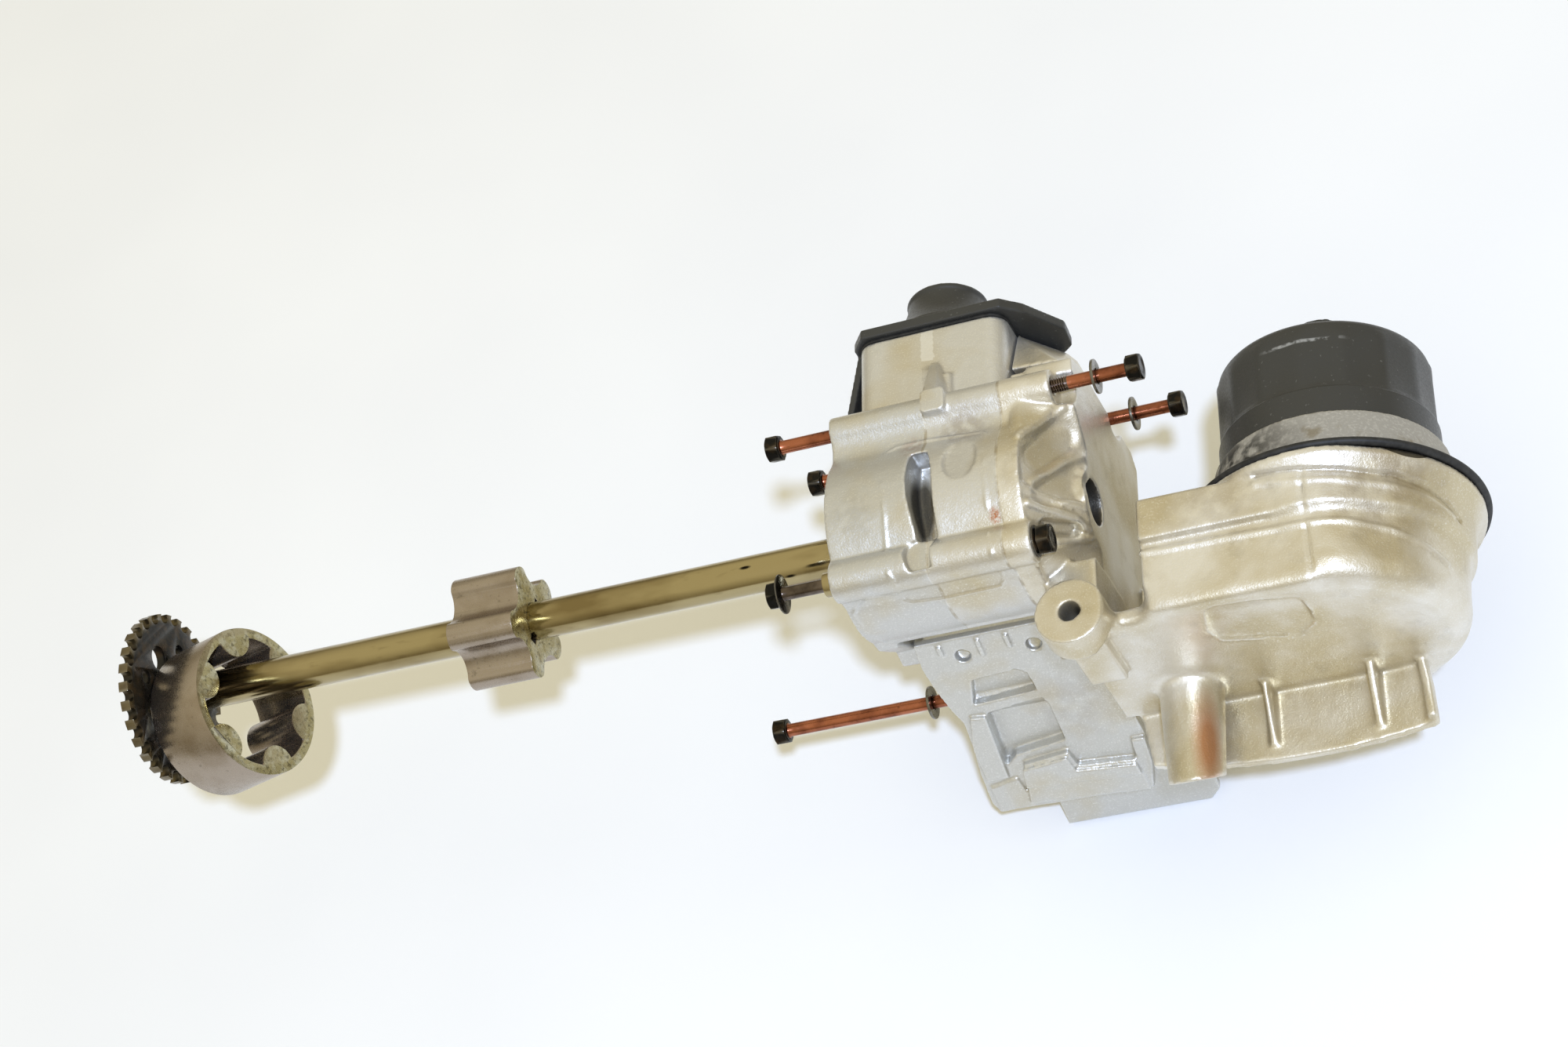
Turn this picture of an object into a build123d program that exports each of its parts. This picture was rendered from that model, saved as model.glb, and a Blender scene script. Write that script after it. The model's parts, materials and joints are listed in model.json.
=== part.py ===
from build123d import *
import os
from math import cos, hypot, pi, radians, sin, sqrt, tan

os.makedirs("parts", exist_ok=True)

# Engine oil pump, partly stripped: chain-driven shaft, gerotor stages, suction head, filter housing.
# Millimetres.  X runs along the shaft from the sprocket to the rear cover, with 0 at the front
# casting's face.  Y points the way the filter cap is lifted off, Z away from the bracket side.

# ---- fits ------------------------------------------------------------------------------------
running_gap = 0.05         # radial, shaft and piston in their bores
rotor_gap = 0.08           # radial, outer rotor in its chamber
mesh_gap = 0.12            # between the inner rotor and the lobes
end_gap = 0.3              # rotor faces and loose stacked parts
loose_gap = 0.3            # bolt in a clearance hole
seat_gap = 0.3             # soft part against its neighbour

# ---- shaft and drive ---------------------------------------------------------------------------
shaft_r = 8.0
shaft_left = -322.0        # shoulder that the sprocket butts on
shaft_right = 91.0
shaft_chamfer = 1.0
stub_r = 6.0               # stepped left end, under the sprocket and its nut
stub_length = 21.0
sprocket_teeth = 28
chain_pitch = 8.0
roller_r = 2.55
sprocket_width = 4.5
sprocket_tip_r = 37.4
sprocket_hub_r = 12.5
sprocket_hub_length = 6.0
web_hole_ring = 19.5
web_hole_r = 5.4
web_slot_r = 3.2
web_holes = 4
nut_flats = 19.0
nut_height = 8.0
nut_flange_r = 12.0
key_width = 4.0
key_height = 3.0
key_length = 9.0
pin_r = 2.0

# ---- rotors ------------------------------------------------------------------------------------
inner_teeth = 5
points_per_tooth = 12
lobe_ring = 29.4           # radius of the circle through the lobe centres
lobe_r = 8.9
eccentric = 4.1
rotor_outer_r = 33.4
rotor_length = 30.0        # stage that is pulled out of the front casting
main_length = 24.0         # stage that stays in the middle casting
rotor_left = -176.0        # where the pulled-out inner rotor lies on the shaft
rotor_turn = 86.0
notch_width = 4.6
notch_depth = 2.4
ring_lean = 18.0           # loose outer rotor, leaning on the sprocket
ring_turn = 36.0
ring_reach = 16.54         # ring centre to the far side of the shaft it hangs on
ring_hang = 210.6          # direction of that drop, in the section across the shaft

# ---- casting stack -----------------------------------------------------------------------------
front_length = 40.0
front_flange = 9.0
middle_length = 32.0
cover_flange = 9.0
cover_length = 28.0
body_r = 38.0
body_low = -35.0           # Y of the flat underside
body_high = 51.0           # Y of the face under the suction head
body_deep = -54.0          # Z of the hidden side
step_z = -18.0             # where the bracket pad starts
tube_y = 40.0
tube_z = 26.6
tube_r = 7.0
foot_y = -29.0
foot_z = 25.5
foot_r = 8.5
side_bolt_y = 44.0
side_bolt_z = -9.0
edge_bolt_y = 60.0
edge_bolt_z = -32.0
edge_boss_r = 6.5
edge_boss_face = 88.0
edge_thread = 27.0         # depth of its tapped hole in the suction head
tube_end = 93.0
bush_wall = 1.5
rear_bush_length = 12.0

# ---- suction head -------------------------------------------------------------------------------
head_left = 7.0
head_right = 71.0
head_top = 86.0
head_near = 21.0
head_far = -40.0
head_wall = 4.0
head_corner = 8.0
gasket_thick = 1.5
plate_thick = 4.5
bell_x = 39.0
bell_z = -3.0
bell_base_r = 24.0
bell_mouth_r = 16.5
bell_height = 22.0
bell_wall = 2.2

# ---- filter housing ------------------------------------------------------------------------------
filter_x = 185.3
filter_z = -43.0
housing_r = 53.0
housing_low = -60.0
housing_top = -7.0
flange_r = 60.5
flange_thick = 6.0
bowl_r = 45.0
floor_thick = 5.0
arm_left = 88.0
arm_slab = -52.0           # top of the slab under the valley
arm_root = -56.0           # near side of the arm's root on the cover
arm_set_in = 1.5           # arm wall behind the housing wall
arm_far = -68.0
arm_top = -9.0
band_low = -29.0           # step round the upper wall of arm and housing
band_out = 3.0
neck_fillet = 10.0         # where the arm leaves the cover
panel_depth = 1.0
skirt_left = 94.0
skirt_right = 212.0
skirt_low = -88.0
skirt_thick = 4.0
rib_thick = 3.0
post_x = 119.0
post_r = 13.0
post_tip_r = 11.0
post_z = -55.0
post_low = -106.0          # farthest point of its slanted end
post_slant = 28.0
neck_gasket_thick = 2.0
neck_r = 50.5
neck_top_r = 46.5
neck_height = 22.5
cap_r = 44.0
cap_height = 47.0
cap_wall = 3.0
cap_flats = 16
cap_band = 13.0
cap_hex = 32.0
cap_hex_height = 9.0
cap_skirt = 14.0
element_r = 33.0
element_core_r = 17.0
element_length = 82.0
pipe_r = 9.0

# ---- tapped boss -----------------------------------------------------------------------------------
boss_x = 93.0
boss_y = -58.5
boss_r = 14.0
boss_face = 19.0
boss_root = 4.0
boss_block_deep = -30.0
boss_hole_r = 4.25
boss_hole_depth = 22.0

# ---- bracket -----------------------------------------------------------------------------------------
dimple_x = 56.5             # dished recess on the middle casting
dimple_lean = 14.0         # degrees round the body from the open side
dimple_depth = 1.6
bracket_tilt = 18.4        # lean of the bracket plate from the XZ plane
bracket_y = -30.6
bracket_z = -40.0
bracket_thick = 5.0
bracket_low = -91.5
bracket_boss_r = 8.0       # boss behind the plate for the long bolt
bracket_boss_left = 16.0
bracket_boss_right = 58.0
long_bolt_y = -31.0
long_bolt_z = -75.0
bracket_back = 3.0          # wall behind the bracket pockets
lower_plate_gap = 8.0
lower_plate_left = 36.0
lower_plate_right = 104.0
lower_plate_low = -113.5
lower_plate_top = -78.0
lower_plate_thick = 4.0
lower_plate_seat = -85.0    # row of the two bosses, in the bracket's plane

# ---- bolts ---------------------------------------------------------------------------------------------
bolt_shank_r = 2.75
bolt_flats = 10.0
bolt_head = 6.0
washer_r = 7.0
washer_thick = 1.2
thread_r = 3.0
front_bolt_out = 23.0
front_bolt_length = 45.0
side_bolt_out = 19.0
side_bolt_length = 34.0
foot_bolt_out = 22.0
foot_bolt_length = 42.0
rear_bolt_out = 30.5
rear_bolt_length = 40.0
edge_bolt_out = 36.0
edge_bolt_length = 42.0
long_bolt_length = 100.0
long_bolt_head = -62.0     # X of the face under the head
long_washer_at = 2.0
rear_washer_at = 110.0     # X of the washer face nearer the casting
edge_washer_at = 108.0
cover_bolt_length = 32.0
cover_bolt_flats = 11.0
cover_bolt_head = 7.0
cover_bolt_flange = 6.3
cover_bolt_seat = 2.0       # raised seat on the cover's flange

# ---- relief valve -----------------------------------------------------------------------------------------
relief_clear = 2.8
relief_wall = 4.0          # wall between the relief bore and the valley
relief_y = -32.0
relief_r = 6.5
relief_depth = 46.0
relief_piston_length = 16.0
relief_wire = 1.4
relief_turns = 5
relief_plug_r = 8.5
relief_plug_length = 8.0
relief_plug_flats = 17.0

# ---- worked out from the above ------------------------------------------------------------------------------
joint1 = front_length
joint2 = front_length + middle_length
cover_face = joint2 + cover_length
chamber_r = rotor_outer_r + rotor_gap
bore_r = shaft_r + bush_wall          # open rear bore
arm_near = filter_z + housing_r - arm_set_in
relief_x = filter_x - housing_r - relief_clear
arm_clear = relief_x - relief_r - relief_wall    # left edge of the arm's free part
front_bush_length = front_length - rotor_length - end_gap
main_left = joint2 - main_length - end_gap


def across(x):
    """Section plane square to the shaft; sketch x is Y, sketch y is Z."""
    return Plane.YZ.offset(x)


def level(y):
    """Plane square to the filter axis; sketch x is X, sketch y is -Z."""
    return Plane(origin=(0, y, 0), x_dir=(1, 0, 0), z_dir=(0, 1, 0))


def finish(part, name):
    part.label = name
    export_step(part, f"parts/{name}.step")

# ---- shaft and drive ---------------------------------------------------------------------------------------
sprocket_left = shaft_left - sprocket_width
hub_left = sprocket_left - sprocket_hub_length
key_z = stub_r - key_height / 2
pin_x = main_left + main_length / 2

with BuildPart() as pump_shaft:
    with BuildSketch(across(shaft_left)):
        Circle(shaft_r)
    extrude(amount=shaft_right - shaft_left)
    chamfer(pump_shaft.edges().filter_by(GeomType.CIRCLE).sort_by(Axis.X)[-1], shaft_chamfer)
    with BuildSketch(across(shaft_left)):
        Circle(stub_r)
    extrude(amount=-stub_length)
    chamfer(pump_shaft.edges().filter_by(GeomType.CIRCLE).sort_by(Axis.X)[0], shaft_chamfer)
    # keyway under the sprocket
    with BuildSketch(Plane.XY.offset(key_z)):
        with Locations((shaft_left - key_length / 2, 0)):
            Rectangle(key_length, key_width)
    extrude(amount=key_height, mode=Mode.SUBTRACT)
    # cross hole for the pin that drives the main stage
    with BuildSketch(Plane.XY):
        with Locations((pin_x, 0)):
            Circle(pin_r)
    extrude(amount=shaft_r + 1, both=True, mode=Mode.SUBTRACT)
finish(pump_shaft.part, "pump_shaft")

with BuildPart() as drive_key:
    with BuildSketch(Plane.XY.offset(key_z)):
        with Locations((shaft_left - key_length / 2, 0)):
            Rectangle(key_length, key_width)
    extrude(amount=key_height)
finish(drive_key.part, "drive_key")

with BuildPart() as drive_pin:
    with BuildSketch(Plane.XY):
        with Locations((pin_x, 0)):
            Circle(pin_r - running_gap)
    extrude(amount=shaft_r + notch_depth - end_gap, both=True)
finish(drive_pin.part, "drive_pin")

pitch_r = chain_pitch / 2 / sin(pi / sprocket_teeth)
with BuildPart() as drive_sprocket:
    with BuildSketch(across(sprocket_left)):
        Circle(sprocket_tip_r)
        with PolarLocations(pitch_r, sprocket_teeth):
            Circle(roller_r, mode=Mode.SUBTRACT)
        with PolarLocations(web_hole_ring, web_holes, start_angle=53):
            Circle(web_hole_r, mode=Mode.SUBTRACT)
        with PolarLocations(web_hole_ring + 3, web_holes, start_angle=3):
            Circle(web_slot_r, mode=Mode.SUBTRACT)
    extrude(amount=sprocket_width)
    with BuildSketch(across(sprocket_left)):
        Circle(sprocket_hub_r)
    extrude(amount=-sprocket_hub_length)
    with BuildSketch(across(hub_left)):
        Circle(stub_r + running_gap)
    extrude(amount=sprocket_width + sprocket_hub_length, mode=Mode.SUBTRACT)
    with BuildSketch(Plane.XY.offset(key_z)):
        with Locations((shaft_left - key_length / 2, 0)):
            Rectangle(key_length + 2 * running_gap, key_width + 2 * running_gap)
    extrude(amount=key_height + running_gap, mode=Mode.SUBTRACT)
finish(drive_sprocket.part, "drive_sprocket")

with BuildPart() as sprocket_nut:
    with BuildSketch(across(hub_left)):
        Circle(nut_flange_r)
    extrude(amount=-2)
    with BuildSketch(across(hub_left)):
        RegularPolygon(nut_flats / 2, 6, major_radius=False)
    extrude(amount=-nut_height)
    with BuildSketch(across(hub_left)):
        Circle(stub_r + running_gap)
    extrude(amount=-nut_height, mode=Mode.SUBTRACT)
finish(sprocket_nut.part, "sprocket_nut")


# ---- gerotor stages ------------------------------------------------------------------------------------------
pocket_r = lobe_ring - lobe_r + 2 * eccentric + end_gap


def inner_points(gap):
    """Inner rotor outline: the envelope of the lobe circles, set back by the mesh gap."""
    lobes = inner_teeth + 1
    steps = inner_teeth * points_per_tooth
    points = []
    for step in range(steps):
        # closer together in the valleys, where the outline turns fastest
        even = 2 * pi * step / steps
        t = even - 0.85 * sin(inner_teeth * even) / inner_teeth
        x = lobe_ring * cos(t) - eccentric * cos(lobes * t)
        y = lobe_ring * sin(t) - eccentric * sin(lobes * t)
        dx = -lobe_ring * sin(t) + lobes * eccentric * sin(lobes * t)
        dy = lobe_ring * cos(t) - lobes * eccentric * cos(lobes * t)
        size = hypot(dx, dy)
        points.append((x - (lobe_r + gap) * dy / size, y + (lobe_r + gap) * dx / size))
    return points


def inner_rotor_solid(left, length, turn):
    """Five-tooth rotor with its bore and the notches for a drive pin."""
    turned = (0, cos(radians(turn)), sin(radians(turn)))
    with BuildPart() as rotor:
        with BuildSketch(Plane(origin=(left, 0, 0), x_dir=turned, z_dir=(1, 0, 0))):
            with BuildLine():
                Spline(*inner_points(mesh_gap), periodic=True)
            make_face()
            Circle(shaft_r + running_gap, mode=Mode.SUBTRACT)
            Rectangle(notch_width, 2 * (shaft_r + notch_depth), mode=Mode.SUBTRACT)
        extrude(amount=length)
    return rotor.part


def outer_rotor_solid(plane, length):
    """Ring with six round lobes; its pockets are a little deeper than the inner rotor's tips."""
    with BuildPart() as ring:
        with BuildSketch(plane):
            Circle(pocket_r + 1)
            Circle(pocket_r, mode=Mode.SUBTRACT)
            with PolarLocations(lobe_ring, inner_teeth + 1):
                Circle(lobe_r)
            Circle(rotor_outer_r, mode=Mode.INTERSECT)
        extrude(amount=length)
        with BuildSketch(plane):
            Circle(rotor_outer_r)
            Circle(pocket_r + 0.5, mode=Mode.SUBTRACT)
        extrude(amount=length)
    return ring.part


inner_rotor = inner_rotor_solid(rotor_left, rotor_length, rotor_turn)
finish(inner_rotor, "inner_rotor")

main_inner_rotor = inner_rotor_solid(main_left, main_length, 180)
finish(main_inner_rotor, "main_inner_rotor")

# In mesh the centres are one eccentricity apart, with a lobe in a valley.
main_plane = Plane(origin=(main_left, eccentric, 0), x_dir=(0, 1, 0), z_dir=(1, 0, 0))
main_outer_rotor = outer_rotor_solid(main_plane, main_length)
finish(main_outer_rotor, "main_outer_rotor")

# The loose ring leans on the sprocket, and the shaft passes through one side of it.
lean = radians(ring_lean)
ring_back_x = shaft_left + end_gap + rotor_outer_r * sin(lean)
ring_drop = ring_reach - shaft_r
ring_drop_y = ring_drop * cos(radians(ring_hang))
ring_drop_z = ring_drop * sin(radians(ring_hang))
ring_plane = Plane(
    origin=(ring_back_x, ring_drop_y, ring_drop_z - rotor_length * sin(lean)),
    x_dir=(0, cos(radians(ring_turn)), sin(radians(ring_turn)) * cos(lean)),
    z_dir=(cos(lean), 0, sin(lean)),
)
outer_rotor = outer_rotor_solid(ring_plane, rotor_length)
finish(outer_rotor, "outer_rotor")


# ---- castings ------------------------------------------------------------------------------------------------
tilt = radians(bracket_tilt)


def pad_y(z):
    """Y of the slanted pad that the bracket plate lies on."""
    return bracket_y + (z - bracket_z) * tan(tilt) + bracket_thick / cos(tilt)


def bracket_plane(depth):
    """Plane parallel to the bracket's outer face, so deep behind it; sketch y runs up the plate."""
    face = Plane(origin=(0, bracket_y, bracket_z), x_dir=(1, 0, 0), z_dir=(0, -cos(tilt), sin(tilt)))
    return face.offset(-depth)


def tangent_point(reach):
    """Point that far from the hollow's centre, towards the shaft axis."""
    scale = (body_r + web_hollow - reach) / (body_r + web_hollow)
    return (hollow_at[0] * scale, hollow_at[1] * scale)


# centre of the hollow that touches both the round body and the bolt tube
web_hollow = 10.0
tube_reach = sqrt(tube_y**2 + tube_z**2)
body_side = body_r + web_hollow
tube_side = tube_r + web_hollow
along = (body_side**2 - tube_side**2 + tube_reach**2) / (2 * tube_reach)
aside = sqrt(body_side**2 - along**2)
hollow_at = (
    (along * tube_y - aside * tube_z) / tube_reach,
    (along * tube_z + aside * tube_y) / tube_reach,
)
hollow_from = tangent_point(web_hollow)
hollow_to = (
    tube_y + (hollow_at[0] - tube_y) * tube_r / tube_side,
    tube_z + (hollow_at[1] - tube_z) * tube_r / tube_side,
)


def window_cut(left):
    """Cutter for half of the bowed window: its front half when left, else its rear half."""
    if left:
        bow = [(35.0, 18), (34.4, 11), (35.0, -6), (36.5, -17), (36.5, -21)]
        shelf = [(36.5, -21), (32.5, -23), (31.7, -29.5), (33.9, -35)]
        edge = front_length
    else:
        bow = [(41.8, 18), (44.8, 3), (45.0, -9), (45.2, -19), (45.0, -21)]
        shelf = [(45.0, -21), (42.4, -27), (42.1, -32), (42.6, -35)]
        edge = front_length - 0.01
    with BuildPart(mode=Mode.PRIVATE) as cutter:
        with BuildSketch(Plane.XY.offset(window_floor)):
            with BuildLine():
                Spline(*bow)
                Polyline(bow[-1], (edge, bow[-1][1]), (edge, bow[0][1]), bow[0])
            make_face()
        extrude(amount=body_r)
        with BuildSketch(Plane.XY.offset(window_shelf)):
            with BuildLine():
                Spline(*shelf)
                Polyline(shelf[-1], (edge, shelf[-1][1]), (edge, shelf[0][1]), shelf[0])
            make_face()
        extrude(amount=body_r)
    return cutter.part


window_floor = 22.0
window_shelf = foot_z + 4.5


def stack_outline():
    """Outline shared by the three castings, as seen along the shaft."""
    with BuildSketch() as outline:
        with BuildLine():
            Polyline(
                (body_low, foot_z),
                (body_low, step_z),
                (pad_y(step_z), step_z),
                (pad_y(body_deep + 6), body_deep + 6),
                (pad_y(body_deep + 6) + 6, body_deep),
                (body_high - 8, body_deep),
                (body_high, body_deep + 8),
                (body_high, head_near - 3),
                (tube_y, tube_z - 5),
                (foot_y, foot_z - 4),
                close=True,
            )
        make_face()
        Circle(body_r)
        with Locations((tube_y, tube_z)):
            Circle(tube_r)
        with Locations((foot_y, foot_z)):
            Circle(foot_r)
        # web between the bolt tube and the round body, hollow on the open side
        with BuildLine():
            Polyline((10, 20), hollow_from, hollow_at, hollow_to, (tube_y, tube_z), close=True)
        make_face()
        with Locations(hollow_at):
            Circle(web_hollow, mode=Mode.SUBTRACT)
    return outline.sketch


def long_hole(y, z, left, right, r):
    """Cutter along the shaft direction."""
    with BuildPart(mode=Mode.PRIVATE) as cutter:
        with BuildSketch(across(left)):
            with Locations((y, z)):
                Circle(r)
        extrude(amount=right - left)
    return cutter.part


hole_r = thread_r + loose_gap
chamber_floor = rotor_length + end_gap
sleeve_r = 5.0
sleeve_depth = 6.0
sleeve_out = 4.0

with BuildPart() as front_casting:
    with BuildSketch(across(0)):
        add(stack_outline())
    extrude(amount=front_length)
    # skirt of the front flange, down past the bracket step
    with BuildSketch(across(0)):
        with BuildLine():
            Polyline(
                (body_low, foot_z - 10),
                (body_low - 1, -8),
                (body_low, -21),
                (-29, -33),
                (-22, -46),
                (-10, -46),
                (-10, foot_z - 10),
                close=True,
            )
        make_face()
    extrude(amount=front_flange)
    # rotor chamber, open at the front
    with BuildSketch(across(0)):
        with Locations((eccentric, 0)):
            Circle(chamber_r)
    extrude(amount=chamber_floor, mode=Mode.SUBTRACT)
    # kidney ports in the chamber floor
    with BuildSketch(across(chamber_floor)):
        with Locations((eccentric, 0)):
            Circle(pocket_r - 2)
        Circle(shaft_r + 8, mode=Mode.SUBTRACT)
        Rectangle(200, 9, mode=Mode.SUBTRACT)
    extrude(amount=3, mode=Mode.SUBTRACT)
    # bush seat
    with BuildSketch(across(0)):
        Circle(shaft_r + bush_wall)
    extrude(amount=front_length, mode=Mode.SUBTRACT)
    # bowed window on the open side
    add(window_cut(True), mode=Mode.SUBTRACT)
    add(long_hole(tube_y, tube_z, 0, front_length, hole_r), mode=Mode.SUBTRACT)
    add(long_hole(foot_y, foot_z, 0, front_length, hole_r), mode=Mode.SUBTRACT)
    add(long_hole(foot_y, foot_z, 0, sleeve_depth, sleeve_r), mode=Mode.SUBTRACT)
    add(long_hole(side_bolt_y, side_bolt_z, 0, front_length, hole_r), mode=Mode.SUBTRACT)
finish(front_casting.part, "front_casting")

with BuildPart() as middle_casting:
    with BuildSketch(across(joint1)):
        add(stack_outline())
    extrude(amount=middle_length)
    # suction head: a square box that overhangs the front casting
    with BuildSketch(level(body_high)):
        with Locations(((head_left + head_right) / 2, -(head_near + head_far) / 2)):
            RectangleRounded(head_right - head_left, head_near - head_far, head_corner)
    extrude(amount=head_top - body_high)
    with BuildSketch(level(body_high + head_wall)):
        with Locations(((head_left + head_right) / 2, -(head_near + head_far) / 2)):
            RectangleRounded(
                head_right - head_left - 2 * head_wall,
                head_near - head_far - 2 * head_wall,
                head_corner - head_wall,
            )
    extrude(amount=head_top, mode=Mode.SUBTRACT)
    # boss inside the head for the rear edge bolt
    with BuildSketch(across(head_right - edge_thread - 3)):
        with Locations((edge_bolt_y, edge_bolt_z)):
            Circle(edge_boss_r)
    extrude(amount=edge_thread + 2)
    add(
        long_hole(edge_bolt_y, edge_bolt_z, head_right - edge_thread, head_right, hole_r),
        mode=Mode.SUBTRACT,
    )
    add(window_cut(False), mode=Mode.SUBTRACT)
    # dished oval on the open side
    dish = radians(dimple_lean)
    dish_plane = Plane(
        origin=(dimple_x, body_r * sin(dish), body_r * cos(dish)),
        x_dir=(1, 0, 0),
        z_dir=(0, sin(dish), cos(dish)),
    )
    with BuildSketch(dish_plane.offset(-dimple_depth)):
        Ellipse(7, 11)
    extrude(amount=dimple_depth + 1, mode=Mode.SUBTRACT)
    # main rotor chamber, closed by the rear casting
    with BuildSketch(across(main_left - end_gap)):
        with Locations((eccentric, 0)):
            Circle(chamber_r)
    extrude(amount=middle_length, mode=Mode.SUBTRACT)
    with BuildSketch(across(joint1)):
        Circle(shaft_r + bush_wall)
    extrude(amount=middle_length, mode=Mode.SUBTRACT)
    # suction passage from the head down to the chamber
    with BuildSketch(level(eccentric + chamber_r - 3)):
        with Locations((pin_x, 8)):
            Circle(7)
    extrude(amount=body_high, mode=Mode.SUBTRACT)
    # pad on the bolt tube and the locating stub on the head
    with BuildSketch(Plane.XY.offset(tube_z)):
        with Locations((joint1 + 5, tube_y + 1)):
            RectangleRounded(10, 11, 2)
    extrude(amount=tube_r + 1.5)
    with BuildSketch(level(body_high - 4)):
        with Locations((joint1 + 7, -head_near)):
            Circle(2.4)
    extrude(amount=14)
    add(long_hole(tube_y, tube_z, joint1, joint2, hole_r), mode=Mode.SUBTRACT)
    add(long_hole(foot_y, foot_z, joint1, joint2, hole_r), mode=Mode.SUBTRACT)
    add(long_hole(side_bolt_y, side_bolt_z, joint1, main_left - 4, hole_r), mode=Mode.SUBTRACT)
finish(middle_casting.part, "middle_casting")

# rear casting: pump cover, arm and filter housing in one piece
slope_left = joint2 + cover_flange
upper_left = joint2 + 2
skirt_z = arm_far - skirt_thick
with BuildPart() as rear_casting:
    with BuildSketch(across(joint2)):
        add(stack_outline())
    extrude(amount=cover_flange)
    # upper wall behind the suction head
    with BuildSketch(across(upper_left)):
        with BuildLine():
            Polyline(
                (38, 22),
                (52, 24),
                (57, 12),
                (57, -54),
                (52, -62),
                (-28, -62),
                (-28, -48),
                (38, -48),
                close=True,
            )
        make_face()
    extrude(amount=slope_left - upper_left)
    # sloping dome up to the flat rear face
    with BuildSketch(across(slope_left)):
        with BuildLine():
            Polyline(
                (54, 24),
                (34, 30),
                (14, 35),
                (-16, 34),
                (-32, 21),
                (-37, -4),
                (-37, -54),
                (-30, -62),
                (52, -62),
                (57, -54),
                (57, 12),
                close=True,
            )
        make_face()
    with BuildSketch(across(cover_face)):
        with BuildLine():
            Polyline(
                (54, 24),
                (32, 23),
                (20, 9),
                (-14, 9),
                (-20, -5),
                (-37, -8),
                (-37, -54),
                (-30, -62),
                (52, -62),
                (57, -54),
                (57, 12),
                close=True,
            )
        make_face()
    loft(ruled=True)
    with BuildSketch(across(joint2)):
        with Locations((tube_y, tube_z)):
            Circle(tube_r)
    extrude(amount=tube_end - joint2)
    with BuildSketch(across(upper_left)):
        with Locations((edge_bolt_y, edge_bolt_z)):
            Circle(edge_boss_r)
    extrude(amount=edge_boss_face - upper_left)
    with BuildSketch(across(slope_left)):
        Circle(bore_r + 5)
    extrude(amount=cover_length - cover_flange)
    # spar from the flange to the bore boss
    with BuildSketch(Plane.XZ.offset(8)):
        with BuildLine():
            Polyline((slope_left, 36), (cover_face, 12), (cover_face, 0), (slope_left, 0), close=True)
        make_face()
    extrude(amount=3)
    # arm to the filter housing, with the stepped band along its upper wall
    with BuildSketch(level(housing_low)):
        with BuildLine():
            Polyline(
                (arm_clear, -arm_near),
                (filter_x, -arm_near),
                (filter_x, -filter_z + housing_r - 4),
                (filter_x - 34, -filter_z + housing_r - 14),
                (filter_x - 52, -arm_far),
                (arm_left, -arm_far),
                (arm_left, -arm_root),
                (arm_clear - neck_fillet, -arm_root),
                (arm_clear, -arm_root - neck_fillet),
                close=True,
            )
        make_face()
    extrude(amount=arm_top - housing_low)
    # slab under the valley between the cover and the arm
    with BuildSketch(level(housing_low)):
        with BuildLine():
            Polyline(
                (arm_left, 0),
                (arm_clear + 1, -4),
                (arm_clear + 1, -arm_far),
                (arm_left, -arm_far),
                close=True,
            )
        make_face()
    extrude(amount=arm_slab - housing_low)
    with BuildSketch(level(band_low)):
        with Locations(((arm_clear + filter_x) / 2, -arm_near - band_out / 2 + 0.5)):
            Rectangle(filter_x - arm_clear, band_out + 1)
    extrude(amount=arm_top - 1.5 - band_low)
    # filter housing: plain wall, stepped band, flared rim
    with BuildSketch(Plane(origin=(filter_x, 0, filter_z), x_dir=(1, 0, 0), z_dir=(0, 0, 1))):
        with BuildLine():
            Polyline(
                (0, housing_low),
                (housing_r - 10, housing_low),
                (housing_r - 3, housing_low + 3),
                (housing_r - 1, housing_low + 9),
                (housing_r, band_low - 2),
                (housing_r + band_out, band_low + 1),
                (housing_r + band_out, housing_top - flange_thick - 4),
                (flange_r - 1, housing_top - flange_thick + 2),
                (flange_r, housing_top - flange_thick + 3),
                (flange_r, housing_top),
                (0, housing_top),
                close=True,
            )
        make_face()
    revolve(axis=Axis((filter_x, 0, filter_z), (0, 1, 0)))
    # recessed panel in the underside
    with BuildSketch(level(housing_low)):
        with BuildLine():
            Polyline((141, -3), (178, 0), (179, 22), (170, 31), (139, 20), close=True)
        make_face()
    extrude(amount=panel_depth, mode=Mode.SUBTRACT)
    # skirt wall with its lip, two ribs and the mounting post
    with BuildSketch(Plane.XY.offset(skirt_z)):
        with BuildLine():
            Spline(
                (skirt_left + 4, skirt_low + 5),
                (skirt_right - 42, skirt_low - 2.5),
                (skirt_right, skirt_low + 2),
            )
            Polyline(
                (skirt_right, skirt_low + 2),
                (skirt_right, housing_low + 1),
                (skirt_left, housing_low + 1),
                (skirt_left + 4, skirt_low + 5),
            )
        make_face()
    extrude(amount=skirt_thick)
    for rib_x in (skirt_right - 66, skirt_right - 24):
        with BuildSketch(Plane.YZ.offset(rib_x)):
            with BuildLine():
                Polyline(
                    (housing_low + 1, arm_far - 1),
                    (housing_low + 1, arm_far + 12),
                    (skirt_low + 4, arm_far + 1.5),
                    (skirt_low + 4, arm_far - 1),
                    close=True,
                )
            make_face()
        extrude(amount=rib_thick)
    with BuildSketch(Plane.YZ.offset(skirt_right - skirt_thick)):
        with BuildLine():
            Polyline(
                (housing_low + 1, arm_far - 1),
                (housing_low + 1, arm_far + 5),
                (skirt_low + 3, arm_far + 3),
                (skirt_low + 3, arm_far - 1),
                close=True,
            )
        make_face()
    extrude(amount=skirt_thick)
    with BuildSketch(level(post_low)):
        with Locations((post_x, -post_z)):
            Circle(post_tip_r)
    with BuildSketch(level(housing_low)):
        with Locations((post_x, -post_z)):
            Circle(post_r)
    loft()
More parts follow.
